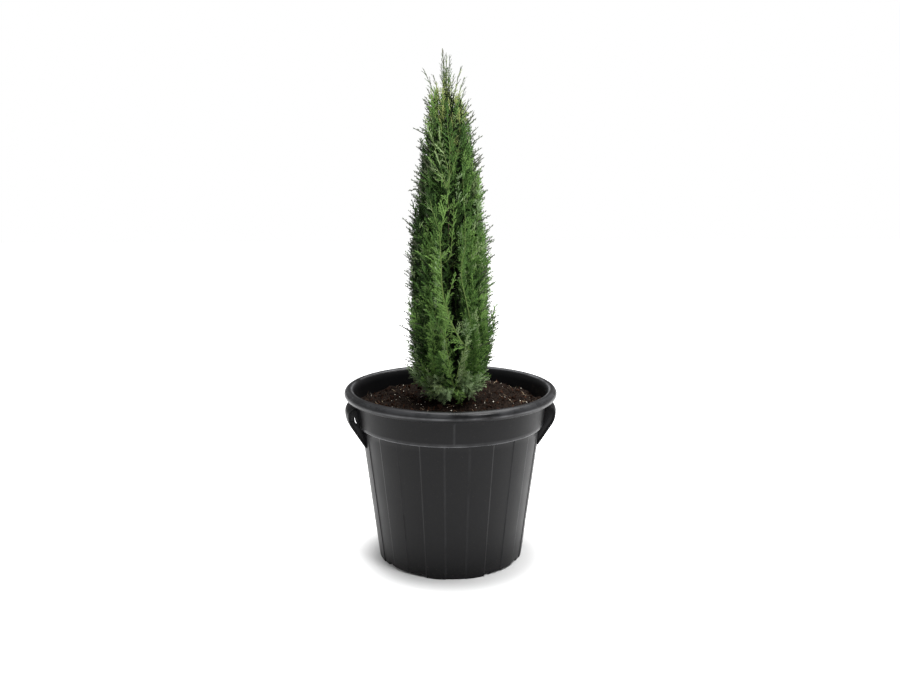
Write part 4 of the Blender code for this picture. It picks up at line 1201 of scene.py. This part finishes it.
def plan_masses():
    """The masses of each tier, and last the leader's, whose stem carries the trunk on to the top."""
    masses = []
    for tier, (tier_middle, count, turn, length) in enumerate(TIERS, start=1):
        for number in range(count):
            degrees = turn + 360.0 * number / count
            middle = tier_middle + TIER_STAGGER * ((2 * number % count) / count - 0.5)
            low, top = max(middle - 0.5 * length, LOWEST_STEM), middle + 0.5 * length
            bend = middle - STEM_BEND_DROP * length
            path = (
                crown_point(STEM_START_REACH, degrees, low),
                crown_point(STEM_BEND_REACH * fill_share(bend), degrees, bend),
                crown_point(STEM_END_REACH * fill_share(top), degrees, top),
            )
            outward = round_point(1.0, degrees, 0.0)[:2]
            seat = crown_point(SEAT_REACH, degrees, middle)
            stoutness = (crown_radius(middle) / CROWN_REACH) ** BOUGH_THINNING
            name = f"foliage_{tier}_{number + 1}"
            masses.append(Mass(name, tier, degrees, outward, seat, path, stoutness))
    path = [trunk_centre(z) for z in (TRUNK_TIP_HEIGHT, (TRUNK_TIP_HEIGHT + PLANT_TOP) / 2, PLANT_TOP)]
    seat = trunk_centre(LEADER_MASS_HEIGHT)
    masses.append(Mass("foliage_leader", len(TIERS), 0.0, (0.0, 0.0), seat, path, LEADER_STOUTNESS))
    for mass in masses[:-1]:
        mass.span = stem_span(masses, mass)
    return masses


def make_boughs(masses, material):
    """All boughs and the stems that they carry on as, in one barked piece."""
    shapes = []
    for mass in masses:
        if mass is not masses[-1]:
            steps = [index / (BOUGH_STATIONS - 1) for index in range(BOUGH_STATIONS)]
            radii = [BOUGH_RADIUS - (BOUGH_RADIUS - BOUGH_TIP_RADIUS) * step for step in steps]
            shapes.append(barked_tube(mass.bough_centres(), [mass.stoutness * radius for radius in radii]))
        shares = [step / BOUGH_STATIONS for step in range(BOUGH_STATIONS + 1)]
        radii = [BOUGH_TIP_RADIUS * mass.stoutness * (1 - STEM_TAPER * share) for share in shares]
        radii[-1] *= STEM_END_SHARE
        shapes.append(barked_tube([mass.stem_point(share) for share in shares], radii))
    boughs = outward_faces(mesh_object("bough_bark", *joined(shapes), material=material))
    finish(boughs, "bark", *[mass.name.replace("foliage", "bough") for mass in masses[:-1]])


@dataclass
class Plume:
    """One slim shoot: its tier, its path from the stem out to the crown's outline, the way it faces, how
    far out its sprays may reach, the shade that most of them have and its kind."""

    tier: int
    path: list
    degrees: float
    limit: float
    tone: str
    kind: str = "shoot"

    def point(self, share):
        points = list(self.path)
        while len(points) > 1:
            points = [low.lerp(high, share) for low, high in zip(points, points[1:])]
        return points[0]

    def ahead(self, share):
        return (self.point(share + 0.01) - self.point(share - 0.01)).normalized()

    def length(self):
        points = [self.point(step / 8) for step in range(9)]
        return sum((b - a).length for a, b in zip(points, points[1:]))

    def aim(self, share, swing_deg, lean_deg):
        """A direction that leans from the plume, swung round it from its outer side."""
        ahead = self.ahead(share)
        swing, lean = math.radians(swing_deg), math.radians(lean_deg)
        away = Vector(round_point(1.0, self.degrees, 0.0))
        away = (away - ahead * away.dot(ahead)).normalized()
        around = math.cos(swing) * away + math.sin(swing) * ahead.cross(away)
        return (ahead * math.cos(lean) + around * math.sin(lean)).normalized()


@dataclass
class Feather(Plume):
    """A plume that runs through all of its points, with its breadth and the share of its sprays that
    stand on its left."""

    kind: str = "feather"
    breadth: float = 1.0
    left: float = 0.5

    def point(self, share):
        last = len(self.path) - 2
        place = min(max(share, 0.0), 1.0) * (last + 1)
        number = min(int(place), last)
        part = place - number
        near = [self.path[min(max(number + step, 0), last + 1)] for step in (-1, 0, 1, 2)]
        before, start, end, after = near
        bent = 2 * before - 5 * start + 4 * end - after
        twisted = 3 * (start - end) + after - before
        return start + 0.5 * part * (end - before + part * (bent + part * twisted))


def dealt(draw, *shares):
    """The first word whose share reaches past the draw."""
    return next(word for limit, word in shares if draw < limit)


def pick_tone(degrees, height, chance):
    """The shade of most of a plume's sprays: brightest at the right of the front and darker on the left,
    which is painted light from the right, silvery and pale low down, which is painted light on the foot
    that the crown shades, and olive near the top."""
    # Painted light: how far the plume faces the lit side, at the right of the front
    light = 0.5 + 0.5 * math.cos(math.radians(degrees - PAINTED_LIGHT_FROM_DEG))
    draw = chance.random()
    if height > OLIVE_HEIGHT:
        return dealt(draw, (0.74, "olive"), (0.90, "fresh"), (1.0, "mid"))
    if height < PALE_FOOT:
        return dealt(draw, (0.36, "silver"), (0.50, "grey"), (0.80, "pale"), (1.0, "fresh"))
    return dealt(draw, (0.05 * light, "grey"), (0.80 * (1 - light), "dark"), (0.84 - 0.54 * light, "mid"),
                 (0.89 + 0.10 * (1 - light), "fresh"), (1.0, "pale"))


def hollow(degrees, height):
    """The share of the crown's reach that is left at a direction and height, less in the hollows."""
    left = 1.0
    for middle, half, low, high, depth in HOLLOWS:
        off = (degrees - middle + 180.0) % 360.0 - 180.0
        if low < height < high:
            left -= depth * math.exp(-((off / half) ** 2))
    return left


def tier_at(height):
    """The tier whose piece holds what grows from a height."""
    return 1 + sum(height > middle - TIER_OVERLAP for middle, count, turn, length in TIERS[1:])


def column_plumes(mass, chance):
    """A mass's plumes: columns side by side over its sector, each with plumes one above the other."""
    plumes = []
    columns = COLUMNS[mass.tier - 1]
    sector = 360.0 / TIERS[mass.tier - 1][1]
    low, high = mass.stem_point(0.0).z, mass.stem_point(1.0).z
    for column in range(columns):
        middle = mass.degrees + COLUMN_SHIFTS_DEG[mass.tier - 1] + sector * ((column + 0.5) / columns - 0.5)
        for row in range(ROWS):
            degrees = middle + COLUMN_JITTER_DEG * chance.uniform(-1, 1)
            part = (row + ROW_START + ROW_STAGGER * (column % 2) + ROW_JITTER * chance.uniform(-1, 1)) / ROWS
            top = low + COLUMN_ROOM + part * (high - low + COLUMN_ROOM)
            rise = chance.uniform(*PLUME_RISE)
            share = min(max((top - rise - low) / (high - low), 0.0), HIGHEST_ROOT)
            root = mass.stem_point(share)
            highest = HIGHEST_PLUME - HIGHEST_PLUME_SLOPE * max(math.sin(math.radians(degrees)), 0.0)
            top = min(top, highest - HIGHEST_PLUME_JITTER * chance.random())
            left = hollow(degrees, top) * fill_share(top)
            reach = left * chance.uniform(*PLUME_REACH)
            is_proud = chance.random() < PROUD_SHARE
            bend_height = root.z + PLUME_BEND_HEIGHT * (top - root.z)
            bend = crown_point(PLUME_BEND_REACH * reach, degrees, bend_height)
            end = crown_point(reach, degrees, top)
            limit = left * chance.triangular(*PLUME_LIMIT)
            tone = pick_tone(degrees, top, chance)
            if is_proud:
                end = crown_point(min(reach + PROUD_STEP, PROUD_REACH), degrees, top + PROUD_RISE)
                limit = PROUD_LIMIT
            plumes.append(Plume(mass.tier, (root, bend, end), degrees, limit, tone))
    return plumes


def skirt_plumes(chance):
    """Short shoots and fans by turns round the trunk's foot, which fill the crown down to the soil."""
    plumes = []
    lowest, highest = SKIRT_TOP
    for number in range(SKIRT_PLUMES):
        degrees = number * GOLDEN_ANGLE_DEG
        kind, limit, part = SKIRT_KINDS[number % 2]
        root = trunk_centre(chance.uniform(*SKIRT_ROOT))
        top = chance.uniform(lowest, highest)
        reach = chance.uniform(*SKIRT_REACH) + SKIRT_SPREAD * (top - lowest) / (highest - lowest)
        reach *= hollow(degrees, top) * part
        bend_height = root.z + PLUME_BEND_HEIGHT * (top - root.z) + SKIRT_LIFT
        bend = crown_point(SHORT_BEND_REACH * reach, degrees, bend_height)
        path = (root, bend, crown_point(reach, degrees, top))
        plumes.append(Plume(1, path, degrees, limit, pick_tone(degrees, top, chance), kind))
    return plumes


def inner_plumes(chance):
    """Short shoots all up the trunk, inside the crown."""
    plumes = []
    low, high = INNER_HEIGHTS
    for number in range(INNER_PLUMES):
        height = low + (high - low) * (number + 0.5) / INNER_PLUMES
        degrees = number * GOLDEN_ANGLE_DEG
        reach = chance.uniform(*INNER_REACH)
        path = (
            trunk_centre(height - INNER_DROP),
            crown_point(SHORT_BEND_REACH * reach, degrees, height),
            crown_point(reach, degrees, height + INNER_RISE),
        )
        # The inner shoots take the deepest green as painted shade
        plumes.append(Plume(tier_at(height), path, degrees, INNER_LIMIT, "deep"))
    return plumes


def spire_plumes(chance):
    """The crown's top: slim plumes from the leader to each spire's tip."""
    plumes = []
    for x, y, height in SPIRES:
        end = Vector((x, y, height))
        root = trunk_centre(height - SPIRE_LENGTH)
        bend = root.lerp(end, 0.5) - SPIRE_HUG * Vector((end.x - root.x, end.y - root.y, 0.0))
        degrees = math.degrees(math.atan2(end.x - root.x, -(end.y - root.y)))
        tone = pick_tone(degrees, height, chance)
        plumes.append(Plume(len(TIERS), (root, bend, end), degrees, None, tone, "spire"))
    return plumes


def front_point(x, height, reach):
    """The point of the crown's front at a reach, from its x and its height."""
    off = x - crown_centre_x(height)
    return Vector((x, -math.sqrt(max((reach * crown_radius(height)) ** 2 - off**2, 0.0)), height))


def feather_plumes(masses):
    """The front's feathers, each from the stem nearest to where it comes out of the crown."""
    plumes = []
    stems = [mass.stem_point(step / 20) for mass in masses for step in range(21)]
    for reach, breadth, tone, left, *places in FEATHERS:
        path = [front_point(*place, reach) for place in places]
        highest_root = path[0].z - FEATHER_DROP
        below = [point for point in stems if point.z < highest_root] or [trunk_centre(highest_root)]
        root = min(below, key=lambda point: (point - path[0]).length)
        degrees = math.degrees(math.atan2(path[1].x - crown_centre_x(path[1].z), -path[1].y))
        limit = reach + (RISING_ROOM if path[-1].z > path[0].z else HANGING_ROOM)
        tier = tier_at(path[0].z)
        plumes.append(Feather(tier, [root, *path], degrees, limit, tone, breadth=breadth, left=left))
    return plumes


def plan_plumes(masses):
    chance = random.Random(SEED)
    plumes = [plume for mass in masses[:-1] for plume in column_plumes(mass, chance)]
    plumes += skirt_plumes(chance) + inner_plumes(chance) + spire_plumes(chance)
    return plumes + feather_plumes(masses)


def spray_shape(name, kind, chance):
    """A feathery side shoot along +Z: a thin axis with short tapering shoots on its two sides, or all
    round it at a plume's tip."""
    length, shoots = SPRAY_KINDS[kind]
    up = Vector((0, 0, 1))
    sway = Vector((chance.uniform(*SWAY_X), chance.uniform(*SWAY_Y), 0.0)) * length

    def axis_point(share):
        return Vector((0, 0, length * share)) + sway * share * share

    rings = []
    for share in (0.0, 1.0):
        radius = SHOOT_RADIUS * (AXIS_FOOT - AXIS_TAPER * share)
        corners = [Vector((math.cos(turn), math.sin(turn), 0)) for turn in AXIS_CORNERS]
        rings.append([axis_point(share) + radius * corner for corner in corners])
    points, faces = lofted(rings)
    for number in range(shoots):
        share = FIRST_SHOOT + SHOOT_SPAN * number / shoots
        if kind in ("tip", "whip"):
            roll = math.radians(number * GOLDEN_ANGLE_DEG)
            lean = math.radians(chance.uniform(*TIP_LEAN_DEG))
        else:
            roll = math.radians(180.0 * (number % 2) + chance.gauss(0, SIDE_ROLL_DEG))
            lean = math.radians(chance.uniform(*SIDE_LEAN_DEG))
        across = Vector((math.cos(roll), math.sin(roll), 0))
        ahead = (across * math.sin(lean) + up * math.cos(lean)).normalized()
        root = axis_point(share)
        reach = SHOOT_LENGTH * (1.0 - SHOOT_SHORTENING * share) * chance.uniform(*SHOOT_VARIETY)
        reach *= LEAST_SHOOT + SHOOT_GROWTH * length
        reach *= WHIP_SHOOT if kind == "whip" else 1.0
        side = ahead.orthogonal().normalized()
        other = ahead.cross(side)
        first = len(points)
        for corner in range(3):
            turn = 2 * math.pi * corner / 3
            around = math.cos(turn) * side + math.sin(turn) * other
            points.append(root + SHOOT_WIDEST * reach * ahead + SHOOT_RADIUS * around)
        points += [root, root + reach * ahead + SHOOT_UPTURN * reach * up]
        for corner in range(3):
            after = (corner + 1) % 3
            faces += [(first + after, first + corner, first + 3), (first + corner, first + after, first + 4)]
    mesh = bpy.data.meshes.new(name)
    mesh.from_pydata([tuple(point) for point in points], [], faces)
    return bpy.data.objects.new(name, mesh)


def spray_collection():
    """Some variants of each kind of spray. Their names put them in the order of their kinds."""
    chance = random.Random(SEED + 1)
    group = bpy.data.collections.new("spray_shapes")
    for order, kind in enumerate(SPRAY_KINDS):
        for number in range(SPRAY_VARIANTS):
            group.objects.link(spray_shape(f"spray_{order}_{kind}_{number}", kind, chance))
    return group


def pick_shade(plume, share, depth, is_stray, chance):
    """Which green a spray takes: dark inside the crown and low on its plume, which is painted shade, its
    plume's own tone towards the tip, dark at the foot of a fan, which is painted shade, silvery on some
    fans, which is painted light, grey at some tips, and dusky on strays at the sides and on spires' tips,
    which is painted shade."""
    draw, tone, is_high = chance.random(), plume.tone, plume.path[-1].z > PALE_HEIGHT
    if plume.kind == "spire":
        # Painted shade: spires darken to dusk towards their tips
        return dealt(draw, (2.0 * share - 0.95, "dusk"), (0.90, tone), (1.0, "grey"))
    if plume.kind == "feather":
        return dealt(draw, (0.12, "dark"), (0.95, tone), (1.0, "grey"))
    if plume.kind == "fan":
        # Painted shade at a fan's foot, painted light in its silvery sprays
        return dealt(draw, (1.0 if share < 0.22 else 0.08, "dark"), (0.75, tone), (1.0, "silver"))
    if is_stray:
        # Painted shade: strays at the sides are dusky
        sideways = abs(math.sin(math.radians(plume.degrees)))
        return dealt(draw, (3.0 * sideways - 2.0, "dusk"), (0.45, tone), (1.0, "mid"))
    # Painted shade inside the crown, a step lighter up high
    if depth > DEEP_DEPTH or (share < 0.40 and depth > 0.5 * DEEP_DEPTH):
        return "dark" if is_high and tone != "deep" else "deep"
    if depth > SHADED_DEPTH:
        return dealt(draw, (0.45, "deep"), (0.75, "dark"), (1.0, "mid"))
    # Painted shade low on a plume, where the plumes above cover it
    if share < 0.48 and plume.path[-1].z > PALE_FOOT:
        return dealt(draw, (0.50, "dark"), (0.80, "mid"), (1.0, tone))
    darker = SHADE_STEPS[SHADE_STEPS.index(tone) - 1] if tone in SHADE_STEPS else tone
    return dealt(draw, (0.74, tone), (0.88, darker), (0.94, tone), (1.0, "grey"))


def plan_sprays(plumes):
    """Where each spray grows: its root, turn, size, shape and shade, gathered by tier and shade."""
    chance = random.Random(SEED + 2)
    kinds = list(SPRAY_KINDS)
    groups = {}

    def place(plume, share, direction, kind, size, limit, is_stray=False):
        """Shortens a spray until it stays within its limit, and leaves out one that can't."""
        root = plume.point(share)
        for attempt in range(TRIES):
            tip = root + direction * size * SPRAY_KINDS[kind][0]
            x, y = tip.x - crown_centre_x(tip.z), tip.y
            reach = math.hypot(x, y) / max(crown_radius(tip.z), LEAST_CROWN)
            allowed = limit or NO_LIMIT
            if plume.kind in ("shoot", "fan"):
                allowed = min(limit, HOLLOW_ROOM * hollow(math.degrees(math.atan2(x, -y)), tip.z))
            if reach <= allowed:
                break
            size *= SHORTER
        is_far = reach > allowed + LIMIT_ROOM and size < SHORTEST
        if not SOIL_HEIGHT + SOIL_ROOM <= tip.z <= PLANT_TOP - TOP_ROOM or is_far:
            return
        away = Vector((root.x - crown_centre_x(root.z), root.y, 0.0))
        side = direction.cross(away if away.length > NEAR_AXIS else direction.orthogonal()).normalized()
        roll = math.radians(chance.uniform(-ROLL_JITTER_DEG, ROLL_JITTER_DEG))
        side = Matrix.Rotation(roll, 3, direction) @ side
        turned = Matrix((side, direction.cross(side), direction)).transposed().to_euler()
        # How far the tip lies inside the crown's skin, which sets its painted shade
        depth = FOLIAGE_SKIN * crown_radius(tip.z) - math.hypot(x, y)
        shade = pick_shade(plume, share, depth, is_stray, chance)
        pick = kinds.index(kind) * SPRAY_VARIANTS + chance.randrange(SPRAY_VARIANTS)
        groups.setdefault((plume.tier, shade), []).append((tuple(root), tuple(turned), size, pick))

    for plume in plumes:
        is_spire, is_feather = plume.kind == "spire", plume.kind == "feather"
        bare = FEATHER_BARE_POINTS / len(plume.path) if is_feather else BARE_SHARE[plume.kind]
        count = max(FEWEST_SPRAYS, int(plume.length() * (1 - bare) / SPRAY_STEPS[plume.kind]))
        for number in range(count):
            share = bare + (LAST_SPRAY - bare) * (number + 0.5) / count
            swing = SPRAY_SWINGS_DEG[number % len(SPRAY_SWINGS_DEG)]
            swing += chance.uniform(-SWING_JITTER_DEG, SWING_JITTER_DEG)
            if is_feather:
                is_left = int((number + 1) * plume.left) > int(number * plume.left)
                swing = -FEATHER_SWING_DEG if is_left else FEATHER_SWING_DEG
                swing += chance.uniform(-FEATHER_JITTER_DEG, FEATHER_JITTER_DEG)
            lean = chance.uniform(*SPRAY_LEAN_DEG) * (1 - LEAN_DROP * share)
            lean *= SPIRE_LEAN_SHARE if is_spire else 1.0
            kind = dealt(share + chance.uniform(-SHARE_JITTER, SHARE_JITTER), *SPRAY_ORDER[plume.kind])
            if is_spire and kind == "short" and number % 2 == 0:
                kind = "whip"
            size = chance.uniform(*SPRAY_SIZE) * (SPIRE_SIZE - SPIRE_TAPER * share if is_spire else 1.0)
            if is_feather:
                size *= plume.breadth * chance.uniform(*FEATHER_SIZE)
            if plume.kind == "fan":
                size = chance.uniform(*FAN_SIZE)
            place(plume, share, plume.aim(share, swing, lean), kind, size, plume.limit)
            if not is_spire and share > STRAY_FROM and chance.random() < STRAY_SHARE / (1 - bare):
                out = plume.aim(share, chance.uniform(*STRAY_SWING_DEG), chance.uniform(*STRAY_LEAN_DEG))
                size = chance.uniform(*STRAY_SIZE)
                place(plume, share, out, "whip", size, chance.uniform(*STRAY_LIMIT), True)
        if is_spire:
            kind, size, limit = "whip", chance.uniform(*SPIRE_TIP_SIZE), None
        else:
            kind, size, limit = "tip", chance.uniform(*TIP_SIZE), plume.limit + TIP_LIMIT_ROOM
        place(plume, TIP_SHARE, plume.ahead(1.0), kind, size, limit)
    return groups


def set_sprays(tree, given):
    """Sets a spray from the collection on each point, turned, sized and picked as the point says."""
    shapes = add(tree, "GeometryNodeCollectionInfo", Collection=(given, "Shapes"), Separate_Children=True,
                 Reset_Children=True)
    turn, size, pick = (
        add(tree, "GeometryNodeInputNamedAttribute", data_type=kind, Name=name)
        for name, kind in (("turn", "FLOAT_VECTOR"), ("size", "FLOAT"), ("pick", "INT"))
    )
    return add(tree, "GeometryNodeInstanceOnPoints", Points=(given, "Geometry"), Instance=shapes,
               Pick_Instance=True, Instance_Index=pick, Scale=size,
               Rotation=add(tree, "FunctionNodeEulerToRotation", Euler=turn))


def make_sprays(masses, groups, shades):
    """A piece for each tier and shade, which stands for the tier's masses."""
    shapes = spray_collection()
    for (tier, shade), rows in sorted(groups.items()):
        roots, turns, sizes, picks = zip(*rows)
        piece = mesh_object(f"sprays_{tier}_{shade}", roots, [])
        give_values(piece, "turn", turns, "FLOAT_VECTOR")
        give_values(piece, "size", sizes)
        give_values(piece, "pick", picks, "INT")
        run_tree(piece, set_sprays, {"Shapes": shapes, "Material": shades[shade]})
        finish(piece, "cypress_leaf", *[mass.name for mass in masses if mass.tier == tier])


def twig_walls(tree, given):
    """Gives each line of points a round tapering wall, as thick as the points say."""
    line = add(tree, "GeometryNodeMeshToCurve", Mesh=(given, "Geometry"))
    ring = add(tree, "GeometryNodeCurvePrimitiveCircle", Resolution=(given, "Sides"), Radius=1.0)
    thick = add(tree, "GeometryNodeInputNamedAttribute", data_type="FLOAT", Name="thickness")
    wall = add(tree, "GeometryNodeCurveToMesh", Curve=line, Profile_Curve=ring, Scale=thick, Fill_Caps=True)
    return add(tree, "GeometryNodeSetShadeSmooth", Geometry=wall)


def make_twigs(name, plumes, material):
    points, edges, thickness = [], [], []
    for plume in plumes:
        stoutness = 1.0
        if isinstance(plume, Feather):
            stoutness = FEATHER_STEM[0] + FEATHER_STEM[1] * plume.breadth
        for index in range(PLUME_POINTS):
            share = index / (PLUME_POINTS - 1)
            if index:
                edges.append((len(points) - 1, len(points)))
            points.append(plume.point(share))
            thickness.append(stoutness * (PLUME_RADIUS + (PLUME_TIP_RADIUS - PLUME_RADIUS) * share))
    twigs = mesh_object(name, points, [], edges)
    give_values(twigs, "thickness", thickness)
    run_tree(twigs, twig_walls, {"Sides": PLUME_SIDES, "Material": material})
    finish(outward_faces(twigs), "cypress_leaf")


# Stage, light and camera


def make_stage():
    """A pale floor that glows as painted light, except close round the pot's foot, where its glow fades out
    and leaves a painted contact shadow; and a backdrop. Soft light comes from all round, with a broad lamp
    overhead, a smaller one high on the right of the front and a faint one on the left."""
    corners = [(x * FLOOR_REACH, y * FLOOR_REACH, 0) for x, y in ((-1, -1), (1, -1), (1, 1), (-1, 1))]
    material, tree, shader, place = start_material("pale_floor", "#cacaca", 0.9)
    # Painted light and shadow: the floor glows further out and not at all next to the pot's foot
    near, far = FLOOR_GLOW_REACH
    distance = add(tree, "ShaderNodeVectorMath", place, FLOOR_GLOW_CENTRE, operation="DISTANCE")
    glow = add(tree, "ShaderNodeMapRange", interpolation_type="SMOOTHSTEP", Value=distance, From_Min=near,
               From_Max=far, To_Max=FLOOR_GLOW)
    feed(tree, shader, {"Emission Color": (1.0, 1.0, 1.0, 1.0), "Emission Strength": glow})
    mesh_object("floor", corners, [(0, 1, 2, 3)], material=material)
    world = bpy.data.worlds.new("studio")
    world.use_nodes = True
    sky = world.node_tree
    is_seen = (add(sky, "ShaderNodeLightPath"), "Is Camera Ray")
    strength = add(sky, "ShaderNodeMapRange", Value=is_seen, To_Min=ROOM_LIGHT, To_Max=BACKDROP_LIGHT)
    feed(sky, sky.nodes["Background"], {"Color": (1.0, 1.0, 1.0, 1.0), "Strength": strength})
    scene = bpy.context.scene
    scene.world = world
    for name, place, size, power in LAMPS:
        lamp = bpy.data.lights.new(name, "AREA")
        lamp.size = size
        lamp.energy = power
        thing = bpy.data.objects.new(name, lamp)
        thing.location = place
        thing.rotation_euler = (Vector(LAMP_AIM) - Vector(place)).to_track_quat("-Z", "Y").to_euler()
        scene.collection.objects.link(thing)
    scene.view_settings.view_transform = "Standard"


def make_camera():
    camera = bpy.data.cameras.new("camera")
    camera.sensor_width = SENSOR_WIDTH
    camera.lens = SENSOR_WIDTH * FOCAL_PIXELS / IMAGE_WIDTH
    thing = bpy.data.objects.new("camera", camera)
    thing.location = round_point(CAMERA_DISTANCE, CAMERA_TURN_DEG, CAMERA_HEIGHT)
    turn = math.radians(CAMERA_TURN_DEG + CAMERA_YAW_DEG)
    thing.rotation_euler = (math.radians(90.0 - CAMERA_PITCH_DEG), 0.0, turn)
    bpy.context.scene.collection.objects.link(thing)
    bpy.context.scene.camera = thing


def main():
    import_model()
    plastic = moulded_polypropylene()
    bark = fibrous_bark()
    make_pot(plastic)
    make_handle("ear_left", -1, plastic)
    make_handle("ear_right", 1, plastic)
    make_soil(crumbly("potting_soil", "#060403", "#241b15", 0.0030))
    shapes = {name: bit_shapes(name) for name in BIT_SHAPES}
    for name, shape, density, smallest, largest, seed, stuff in STREWN:
        strew(name, shapes[shape], density, smallest, largest, seed, crumbly(*stuff))
    make_trunk(bark)
    masses = plan_masses()
    make_boughs(masses, bark)
    plumes = plan_plumes(masses)
    feathers = [plume for plume in plumes if isinstance(plume, Feather)]
    others = [plume for plume in plumes if not isinstance(plume, Feather)]
    make_twigs("plume_stems", others, young_twig("green_twig", "#4f6230"))
    make_twigs("feather_stems", feathers, young_twig("pale_green_twig", "#5b7032"))
    # One leaf material for each green, several of them lit and shaded copies as painted light and shade
    shades = {shade: scale_leaf(shade, colour) for shade, colour in LEAF_SHADES.items()}
    make_sprays(masses, plan_sprays(plumes), shades)
    make_stage()
    make_camera()


main()
